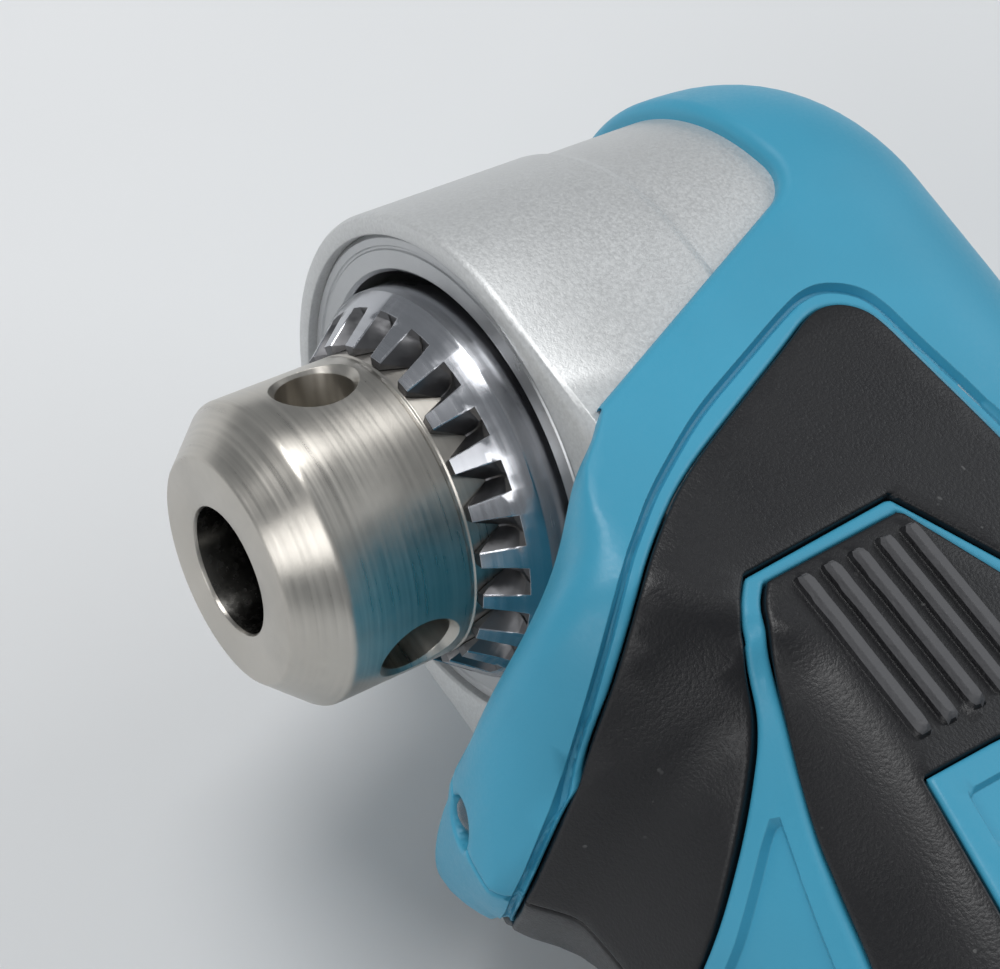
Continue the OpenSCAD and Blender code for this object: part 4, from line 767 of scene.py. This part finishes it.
def make_body():
    """The two moulded halves and their soft pads."""
    wells = [(x, y, SCREW_WELL_R) for x, y in SCREWS]
    shell_rows = [("ledge", LEDGE_LEVELS), ("window", WINDOW_LEVELS), ("wedge", WEDGE_LEVELS)]
    whole, front, grip = (BODY.first, FOOT_X), (5, 60), (26, 200)
    for side, flip, holes in (("left", False, ()), ("right", True, wells)):
        shell = skin(f"{side}_shell", shell_region, shell_relief, shell_rows, SHELL_WALL, SHELL_EDGES,
                     shell_round, whole, holes, flip)
        points, faces = mouth_wall()
        wall = mesh_object(f"{side}_mouth", np.array(points) * (1, 1, -1 if flip else 1), faces)
        joined(shell, [tidy_mesh(wall), *foot_pieces(side)])
        place(shell, "housing", "teal_shell", f"{side}_housing")
        pad = skin(f"{side}_front_grip", front_pad_region, lambda f: 0 * f["seam"], [], PAD_WALL,
                   PAD_EDGES, pad_round, front, holes, flip)
        place(pad, "housing", "soft_grip", f"{side}_front_pad")
        pad = skin(f"{side}_ribbed_grip", ribbed_pad_region, ribbed_pad_relief, [("ribs", RIB_LEVELS)],
                   PAD_WALL, PAD_EDGES, pad_round, grip, holes, flip)
        # Rib tops take the lighter second rubber: a painted highlight where light falls on them
        for face in pad.data.polygons:
            x, y, z = (abs(c) / MM for c in face.center)
            near = min(abs(y - s * HEAD_TOP) for s in RIB_Y)
            if near < RIB_W / 2 - 0.1 and z > RIB_SIDE and RIB_X[0] < x / GRIP_X < RIB_X[1]:
                face.material_index = 1
        place(pad, "housing", "soft_grip", f"{side}_ribbed_pad", second="worn_grip")


def lathe(profile, segments):
    """Turns a closed outline of radius and height pairs about the chuck axis."""
    rows = np.array(profile, float)
    turn = np.arange(segments) * TURN / segments
    r, y = rows[:, :1], np.repeat(rows[:, 1:], segments, 1)
    points = np.stack([r * np.cos(turn), y, r * np.sin(turn)], -1)
    return points.reshape(-1, 3), grid_faces(len(rows), segments, True, True)


def grid_faces(rows, columns, rows_close, columns_close):
    """Four-sided faces over a grid of points, closed in either way."""
    faces = []
    for i in range(rows if rows_close else rows - 1):
        for j in range(columns if columns_close else columns - 1):
            a, b = i * columns, (i + 1) % rows * columns
            k = (j + 1) % columns
            faces.append((a + j, a + k, b + k, b + j))
    return faces


def tidy_mesh(made, sharp=35, distance=0.002):
    """Welds, turns faces outwards and shades an object's mesh."""
    with editing(made, sharp) as work:
        weld(work, distance, FINE_WELD)
    return made


def turned(name, profile, segments):
    """A turned object about the chuck axis."""
    return tidy_mesh(mesh_object(name, *lathe(profile, segments)))


def bevelled(made, width, steps=3, angle=30):
    """Rounds the sharp edges of an object's mesh."""
    with editing(made, 40) as work:
        weld(work, 0.001)
        sharp = [e for e in work.edges if e.is_manifold and e.calc_face_angle(0) > math.radians(angle)]
        bmesh.ops.bevel(work, geom=sharp, offset=width * MM, segments=steps, profile=0.5, affect="EDGES",
                        clamp_overlap=True)
    return made


def plate_piece(name, outline, low, high, axis):
    """A flat outline run along an axis: outline pairs are the two other axes in order."""
    order = {"X": (2, 0, 1), "Z": (0, 1, 2)}[axis]
    points = [(p[0], p[1], h) for h in (low, high) for p in outline]
    points = np.array(points, float)[:, order]
    n = len(outline)
    faces = [tuple(range(n)), tuple(range(n, 2 * n))]
    faces += [(k, (k + 1) % n, n + (k + 1) % n, n + k) for k in range(n)]
    return tidy_mesh(mesh_object(name, points, faces), 30, FINE_WELD)


def box_piece(name, low, high):
    """A block between two corners."""
    outline = [(low[0], low[1]), (high[0], low[1]), (high[0], high[1]), (low[0], high[1])]
    return plate_piece(name, outline, low[2], high[2], "Z")


def rounded_outline(half_a, half_b, r, centre, steps=8):
    """A rectangle with round corners."""
    out = []
    for k, (sa, sb) in enumerate(((1, 1), (-1, 1), (-1, -1), (1, -1))):
        for t in np.linspace(0, math.pi / 2, steps + 1):
            angle = k * math.pi / 2 + t
            out.append((centre[0] + sa * (half_a - r) + r * math.cos(angle),
                        centre[1] + sb * (half_b - r) + r * math.sin(angle)))
    return out


def cut_away(made, tools, sharp=35):
    """Cuts tool objects out of an object, removes them and cleans what is left."""
    for tool in tools:
        cut = made.modifiers.new("cut", "BOOLEAN")
        cut.operation, cut.solver, cut.object = "DIFFERENCE", "EXACT", tool
    bpy.context.view_layer.update()
    shown = made.evaluated_get(bpy.context.evaluated_depsgraph_get())
    result = bpy.data.meshes.new_from_object(shown)
    made.modifiers.clear()
    made.data = result
    for tool in tools:
        bpy.data.objects.remove(tool)
    return tidy_mesh(made, sharp, FINE_WELD)


def joined(made, others):
    """Adds the meshes of other objects to one object."""
    with editing(made, 45) as work:
        for other in others:
            work.from_mesh(other.data)
            bpy.data.objects.remove(other)
    return made


def rod(name, start, way, profile, segments=48):
    """A turned shape along any line: profile gives radius and distance from the start."""
    points, faces = lathe(profile, segments)
    turn = Vector((0, 1, 0)).rotation_difference(Vector(way).normalized()).to_matrix()
    points = points @ np.array(turn).T + np.array(start, float)
    return tidy_mesh(mesh_object(name, points, faces))


# Gear head

RING_R, RING_IN, CASE_STEP, STEP_Y = 21.45, 18.1, 0.45, 38.1
CASE_REACH, CASE_TOP, RIM_Y, RIM_DEEP = 26.0, 57, 21.4, 25


def make_gear_case():
    """The casting: round front, straight sides that run under the shell, and its rim."""
    straight = np.linspace(CASE_REACH, 0, 14)[:-1]
    plan = [(x, 1.0) for x in straight] + [(None, a) for a in np.linspace(0, math.pi, 97)]
    plan += [(x, -1.0) for x in straight[::-1]]
    # Depth inwards from the outer wall, then height
    wall = CASE_R - RING_R
    profile = [
        (CASE_STEP, CASE_TOP), (CASE_STEP, 40), (CASE_STEP, STEP_Y + 1.0), (0.4, STEP_Y + 0.85),
        (0.06, STEP_Y + 0.1), (0, STEP_Y - 0.2), (0, 30), (0, 21.35), (0.1, 21.0), (0.28, 20.8),
        (0.6, CASE_Y), (wall - 0.35, CASE_Y), (wall - 0.1, 20.78), (wall, 21.0), (wall, RIM_DEEP),
        (wall + 2, RIM_DEEP), (wall + 2, CASE_TOP)]
    points = []
    for depth, y in profile:
        for x, a in plan:
            if x is None:
                r = CASE_R - depth
                points.append((-r * math.sin(a), y, r * math.cos(a)))
            else:
                inner = math.sqrt(max(RING_R ** 2 - x * x, 1.0))
                points.append((x, y, a * mix(CASE_R, inner, depth / wall)))
    made = mesh_object("cast_head", points, grid_faces(len(profile), len(plan), True, False))
    place(tidy_mesh(made, 28), "housing", "cast_case", "gear_case")
    ring = turned("rim_ring", [
        (RING_IN, 21.75), (RING_IN + 0.35, RIM_Y), (20.0, RIM_Y), (20.12, 21.55), (20.3, 21.55),
        (20.42, RIM_Y), (RING_R - 0.4, RIM_Y), (RING_R - 0.06, 21.75), (RING_R - 0.06, 24.6),
        (RING_IN, 24.6)], 192)
    place(ring, "housing", "bearing_steel", "retaining_ring")


# Chuck

NOSE_R, FACE_R, NOSE_BEVEL, BORE_R, SLEEVE_Y, CHUCK_LEN = 13.15, 9.8, 3.8, 5.45, 15.2, 33.6
PILOT_R, PILOT_Y, PILOT_DEEP = 3.2, 10.2, 5.6
TAIL_Y, TAIL_R, HUB_R, HUB_Y, THREAD_R, FLOOR_Y = 26.6, 15.3, 8.7, 21.8, 4.86, 24.4
JAW_LEAN, CHANNEL_R, CHANNEL_Y, CHANNEL_OUT, CHANNEL_LEN = math.radians(18), 2.65, 7.2, 4.55, 29


def make_nose():
    """The turned nose: mouth, jaw channels and three key holes with broken edges."""
    nose = turned("chuck_nose", [
        (BORE_R, 0.4), (BORE_R + 0.12, 0.12), (BORE_R + 0.4, 0), (FACE_R - 0.25, 0), (FACE_R - 0.03, 0.07),
        (FACE_R + 0.12, 0.24), (NOSE_R - 0.2, NOSE_BEVEL - 0.22), (NOSE_R - 0.05, NOSE_BEVEL + 0.02),
        (NOSE_R, NOSE_BEVEL + 0.3), (NOSE_R, 8), (NOSE_R, 14.6), (NOSE_R - 0.15, 14.75),
        (NOSE_R - 0.15, 15.0), (NOSE_R, 15.15), (NOSE_R, HUB_Y), (HUB_R, HUB_Y), (10.2, TAIL_Y),
        (TAIL_R, TAIL_Y), (TAIL_R, CHUCK_LEN), (THREAD_R, CHUCK_LEN), (THREAD_R, FLOOR_Y),
        (BORE_R + 0.8, FLOOR_Y), (BORE_R + 0.8, 12.96), (BORE_R, 12.96)], 256)
    tools = []
    for k in range(3):
        a = k * TURN / 3
        way = (math.cos(a), 0, -math.sin(a))
        start = ((NOSE_R - PILOT_DEEP) * way[0], PILOT_Y, (NOSE_R - PILOT_DEEP) * way[2])
        tools.append(rod(f"key_hole_{k}", start, way, [
            (0, -1.1), (PILOT_R, 0), (PILOT_R, PILOT_DEEP - 0.75), (PILOT_R + 0.5, PILOT_DEEP - 0.05),
            (PILOT_R + 1.5, PILOT_DEEP + 1.5), (0, PILOT_DEEP + 1.5)], 72))
        b = a + TURN / 6
        out = (math.cos(b), 0, -math.sin(b))
        way = (out[0] * math.sin(JAW_LEAN), math.cos(JAW_LEAN), out[2] * math.sin(JAW_LEAN))
        r = CHANNEL_OUT - CHANNEL_Y * math.tan(JAW_LEAN)
        tools.append(rod(f"channel_{k}", (out[0] * r, CHANNEL_Y, out[2] * r), way, [
            (0, 0), (CHANNEL_R, 0), (CHANNEL_R, CHANNEL_LEN), (0, CHANNEL_LEN)], 64))
    cut_away(nose, tools, 32)
    # Faces inside the bore take the near-black second material: painted shade down the deep bore
    for face in nose.data.polygons:
        if math.hypot(face.center.x, face.center.z) < (BORE_R + 0.9) * MM and face.center.y > 0.4 * MM:
            face.material_index = 1
    place(nose, "spindle", "chuck_steel", "chuck_body", second="bore_steel")


KEY_TEETH, SLEEVE_R, SLEEVE_IN, SLEEVE_END = 22, 17.2, 15.45, 33.2
GAP_HALF_TOP, GAP_HALF_LOW, GAP_DEEP, GAP_SHARE = 1.3, 0.14, 2.1, 0.68
TOOTH_RISE, LAND_R, GAP_STEPS = 4.4, 13.95, 7


def make_sleeve():
    """The geared sleeve: V-shaped gaps with narrow floors, cut across its conical face."""
    length = math.hypot(SLEEVE_R - LAND_R, TOOTH_RISE)
    out, back = (SLEEVE_R - LAND_R) / length, TOOTH_RISE / length
    # Place across the gap, then depth; the first column is the middle of the tooth beside it
    half = [(GAP_HALF_LOW - 0.06, GAP_DEEP), (GAP_HALF_LOW + 0.05, GAP_DEEP - 0.12),
            (GAP_HALF_TOP - 0.03, 0.12), (GAP_HALF_TOP + 0.07, 0)]
    columns = [(None, 0)] + [(-across, depth) for across, depth in half[::-1]] + half
    inner = NOSE_R + 0.07
    tail = [(SLEEVE_R - 0.05, SLEEVE_Y + TOOTH_RISE - 0.07), (SLEEVE_R, 19.7), (SLEEVE_R, 22.9),
            (SLEEVE_R, 28), (SLEEVE_R, 32.9), (SLEEVE_R - 0.3, SLEEVE_END), (SLEEVE_IN, SLEEVE_END),
            (SLEEVE_IN, 21.9)]
    rows = [[] for _ in range(GAP_STEPS + 2 + len(tail))]
    for tooth in range(KEY_TEETH):
        middle = (tooth + 0.5) * TURN / KEY_TEETH
        for across, depth in columns:
            first = max(0.0, (back * depth - (LAND_R - inner)) / out)
            rise = 0.05 + (back * first + out * depth) if depth else 0
            line = [(inner, SLEEVE_Y + rise)]
            for k in range(GAP_STEPS + 1):
                share = k / GAP_STEPS
                along, deep = mix(first, GAP_SHARE * length, share), depth * (1 - share ** 2.5)
                line.append((LAND_R + out * along - back * deep, SLEEVE_Y + back * along + out * deep))
            for row, (r, y) in zip(rows, line + tail):
                r = max(r, inner)
                turn = middle + (-TURN / KEY_TEETH / 2 if across is None else across / r)
                row.append((r * math.cos(turn), y, -r * math.sin(turn)))
    points = [p for row in rows for p in row]
    made = mesh_object("geared_sleeve", points, grid_faces(len(rows), len(rows[0]), False, True))
    tidy_mesh(made, 24)
    # Faces down in the gaps take the near-black second material: painted shade in the gaps
    for face in made.data.polygons:
        r, y = math.hypot(face.center.x, face.center.z) / MM, face.center.y / MM
        below = (y - SLEEVE_Y) * out - (r - LAND_R) * back
        if inner - 1 < r < SLEEVE_R - 0.1 and below > 0.16 and y < 21:
            face.material_index = 1
    place(made, "sleeve", "polished_steel", "chuck_gear_sleeve", second="gap_steel")


# Openings of the body, foot and small controls

def mouth_wall():
    """Inner wall of the left half's chin round the chuck: a strip from the underside up to the casting."""
    corner_z = float(mouth_side(MOUTH_END)) - MOUTH_CORNER
    rim = [(MOUTH_END, z, 0.0) for z in np.linspace(0.04, corner_z, 10)]
    for turn in np.linspace(0.05, math.pi / 2, 30):
        x = MOUTH_END - MOUTH_CORNER * (1 - math.cos(turn))
        if x > CASE_EDGE[0][0] + 0.8:
            rim.append((x, float(mouth_side(x)) - MOUTH_CORNER * (1 - math.sin(turn)), turn))
    v = np.linspace(BODY.girth * UNDER, BODY.girth, 400)
    shares = np.linspace(0, 1, 5)
    outer, back = [], []
    for x, z, turn in rim:
        ring = BODY.points(np.full(len(v), x), v)
        order = np.argsort(ring[:, 2])
        low = float(np.interp(z, ring[order, 2], ring[order, 1]))
        outer.append([(x, mix(low + 0.35, CASE_Y + 0.1, k), z) for k in shares])
        back.append([(x + math.cos(turn), p[1] + 0.3, z + math.sin(turn)) for p in outer[-1]])
    points = [p for row in outer + back for p in row]
    wide, n = len(shares), len(rim) * len(shares)
    faces = grid_faces(len(rim), wide, False, False)
    faces += [tuple(n + k for k in f[::-1]) for f in faces]
    for border in (range(0, n, wide), range(wide - 1, n, wide), range(wide), range(n - wide, n)):
        faces += [(a, b, n + b, n + a) for a, b in zip(border, border[1:])]
    return points, faces


RAIL_FRONT, RAIL_BACK = PACK_Y - 39.9, PACK_Y + 42.75
RAIL_STEP, RAIL_END, RAIL_NECK, RAIL_HEAD = 239.0, 242.4, 20.0, 24.0
TERMINAL_HALF, TERMINAL_H = 14.1, 13.1


def foot_pieces(side):
    """End wall of one half with its share of the battery rail."""
    v = np.linspace(0, BODY.girth, 160)
    ring = BODY.points(np.full(len(v), FOOT_X), v)
    notch_low, notch_high = RAIL_FRONT - 0.1, RAIL_FRONT + TERMINAL_H
    outline = [(p[1], max(p[2] - 0.15, SEAM)) for p in ring]
    notch = [(notch_low, SEAM), (notch_low, TERMINAL_HALF), (notch_high, TERMINAL_HALF), (notch_high, SEAM)]
    end = plate_piece(f"{side}_end", outline + notch, FOOT_X - SHELL_WALL, FOOT_X, "X")
    made = [bevelled(end, 0.3, 2, 50)]
    rails = ((FOOT_X - 1, RAIL_STEP + 0.05, RAIL_NECK), (RAIL_STEP, RAIL_END, RAIL_HEAD))
    for k, (x0, x1, half) in enumerate(rails):
        outline = [(notch_high, SEAM), (RAIL_BACK, SEAM), (RAIL_BACK, half), (RAIL_FRONT, half),
                   (RAIL_FRONT, TERMINAL_HALF), (notch_high, TERMINAL_HALF)]
        made.append(bevelled(plate_piece(f"{side}_rail_{k}", outline, x0, x1, "X"), 0.5, 3))
    if side == "right":
        for piece in made:
            piece.data.transform(Matrix.Diagonal((1, 1, -1, 1)))
            piece.data.flip_normals()
    return made


TRIGGER_X, TRIGGER_Y, TRIGGER_LEN, TRIGGER_DEEP, TRIGGER_HALF = 68.04, 15.98, 62, 7.4, 10.4
PIN_R, HUB_OUT, HUB_LEN, GROOVE_HALF = 1.55, 2.98, 6.3, 8


def make_trigger():
    """Paddle with a softened edge and shallow finger grooves."""
    under = [(-0.08, 0.42), (0.1, 0.62), (0.35, 0.8), (0.62, 0.98), (0.84, 1), (0.95, 0.88), (1, 0.62)]
    over = [(1, 0.1), (0.96, 0.1), (0.95, 0.5), (0.6, 0.5), (0.3, 0.36), (0.06, 0.12)]
    x, y = TRIGGER_X, TRIGGER_Y
    outline = softened([(x + a * TRIGGER_LEN, y - b * TRIGGER_DEEP) for a, b in under + over], 50)
    paddle = plate_piece("trigger_paddle", outline, -TRIGGER_HALF, TRIGGER_HALF, "Z")
    bevelled(paddle, 1.0, 4, 25)
    grooves = []
    for k in range(6):
        share = 0.3 + 0.1 * k
        low = float(np.interp(share, *zip(*under)))
        start = (x + TRIGGER_LEN * share, y - low * TRIGGER_DEEP - 0.55, -GROOVE_HALF)
        grooves.append(rod(f"groove_{k}", start, (0, 0, 1), [
            (0, 0), (0.5, 0), (0.95, 0.8), (0.95, 15.2), (0.5, 16), (0, 16)], 24))
    cut_away(paddle, grooves, 40)
    hub = rod("hub", (x, y, -TRIGGER_HALF), (0, 0, 1), [
        (PIN_R, 0), (2.7, 0), (HUB_OUT, 0.3), (HUB_OUT, HUB_LEN), (PIN_R, HUB_LEN)])
    hub_2 = rod("hub_2", (x, y, TRIGGER_HALF - HUB_LEN), (0, 0, 1), [
        (PIN_R, 0), (HUB_OUT, 0), (HUB_OUT, 6.0), (2.7, HUB_LEN), (PIN_R, HUB_LEN)])
    joined(paddle, [hub, hub_2])
    place(paddle, "trigger", "black_plastic", "trigger")


def make_selector():
    """Reversing bar through the handle, with three grip ridges on each end."""
    x, y, half = 126.5, 45.98, 26.5
    bar = plate_piece("reversing_bar", rounded_outline(5.5, 3.0, SELECTOR_ROUND, (x, y)), -half, half, "Z")
    bevelled(bar, 0.7, 3, 60)
    ridges = []
    for end in (-1, 1):
        for k in (-1, 0, 1):
            middle = x + 2.4 * k
            ridge = box_piece(f"ridge_{end}_{k}", (middle - 0.5, y - 1.7, end * half - 0.3),
                              (middle + 0.5, y + 1.7, end * half + 0.3))
            ridges.append(bevelled(ridge, 0.2, 2))
    place(joined(bar, ridges), "selector", "black_plastic", "reversing_selector")


PACK_X, CASE_X, PACK_END, PACK_ROUND, PACK_GAP, PACK_FAR = 236.3, 251.3, 282.3, 7.0, 0.3, 120
BUTTON_X, BUTTON_HALF, BUTTON_W, BUTTON_Y, BUTTON_H = 243.8, 4.5, 12, PACK_Y - 59, 4.2


def make_battery():
    """Pack: cover with rail slots, case with side grips and a recessed base, and the release button."""
    outline = rounded_outline(PACK_LEN / 2, PACK_W / 2, PACK_ROUND, (PACK_Y, 0), 10)
    cover = bevelled(plate_piece("pack_cover", outline, PACK_X, CASE_X - 0.02, "X"), 0.8, 3, 40)
    gap, front = PACK_GAP, RAIL_FRONT - PACK_GAP
    tools = [
        box_piece("slot_a", (FOOT_X - 2, front, -RAIL_NECK - gap),
                  (RAIL_STEP + gap, PACK_FAR, RAIL_NECK + gap)),
        box_piece("slot_b", (RAIL_STEP - gap, front, -RAIL_HEAD - gap),
                  (RAIL_END + gap, PACK_FAR, RAIL_HEAD + gap)),
        box_piece("button_room", (BUTTON_X - BUTTON_HALF - gap, -40, -BUTTON_W - gap),
                  (BUTTON_X + BUTTON_HALF + gap, PACK_Y - PACK_LEN / 2 + 5, BUTTON_W + gap)),
    ]
    for z in (-8, 8):
        tools.append(box_piece(f"blade_{z}", (FOOT_X - 2, RAIL_FRONT - 7.4, z - 0.9),
                               (FOOT_X + 5.8, RAIL_FRONT + 1, z + 0.9)))
    place(cut_away(cover, tools), "battery", "black_plastic", "battery_cover")
    case = bevelled(plate_piece("pack_case", outline, CASE_X + 0.02, PACK_END, "X"), 2.2, 5, 40)
    tools = []
    for side in (-1, 1):
        for k in range(9):
            start = (CASE_X + 5, PACK_Y - 32 + 8 * k, side * (PACK_W / 2 + 1.0))
            tools.append(rod(f"grip_{side}_{k}", start, (1, 0, 0), [
                (0, 0), (0.9, 0.2), (2.0, 1.6), (2.0, 19.4), (0.9, 20.8), (0, 21)], 28))
    inset = rounded_outline(44, 25, 5, (PACK_Y, 0))
    tools.append(plate_piece("base_recess", inset, PACK_END - 0.7, PACK_END + 2, "X"))
    place(cut_away(case, tools), "battery", "black_plastic", "battery_case")
    button = box_piece("pack_button", (BUTTON_X - BUTTON_HALF, BUTTON_Y, -BUTTON_W),
                       (BUTTON_X + BUTTON_HALF, BUTTON_Y + BUTTON_H, BUTTON_W))
    bevelled(button, 0.9, 4)
    tools = [rod(f"thumb_{k}", (BUTTON_X + 2.0 * k, BUTTON_Y - 0.45, -8.5), (0, 0, 1), [
        (0, 0), (0.4, 0.1), (0.8, 0.7), (0.8, 16.3), (0.4, 16.9), (0, 17)], 24) for k in (-1, 0, 1)]
    place(cut_away(button, tools), "button", "red_plastic", "release_button")


def make_screws():
    """Eight pan-head screws with a cross recess."""
    low, high, parts = SCREW_SEAT - 3, SCREW_SEAT - 1.1, []
    for k, (x, y) in enumerate(SCREWS):
        screw = rod(f"screw_{k}", (x, y, SCREW_SEAT), (0, 0, -1), [
            (0, 2.2), (1.4, 2.15), (2.4, 1.85), (2.85, 1.2), (2.9, 0), (1.5, 0), (1.5, -18), (0, -20)])
        cross = [box_piece(f"arm_{k}_{arm}", (x - a, y - b, low), (x + a, y + b, high))
                 for arm, a, b in (("a", 1.5, 0.35), ("b", 0.35, 1.5))]
        parts.append(cut_away(screw, cross))
    place(joined(parts[0], parts[1:]), "housing", "dark_steel", "housing_screws")


def make_light():
    """Domed lens of the work light."""
    lens = rod("light_dome", (LIGHT_X, 5.1, 0), (0, 1, 0), [
        (0, -0.1), (0.7, 0), (1.3, 0.25), (1.7, 0.7), (1.9, 1.2), (1.9, 3.4), (0, 3.4)])
    place(lens, "housing", "clear_lens", "light_lens")


def finish_cad_nodes():
    """Gives every CAD node its slot's own material."""
    slots = {s["node"]: s["material_slot"] for s in frame["record"]["subparts"]}
    for name, node in frame["nodes"].items():
        node.data.materials.clear()
        node.data.materials.append(LOOKS[slots[name]])
        shade(node.data, 30)


make_camera()
make_studio()
finish_cad_nodes()
make_body()
make_gear_case()
make_nose()
make_sleeve()
make_trigger()
make_selector()
make_battery()
make_screws()
make_light()
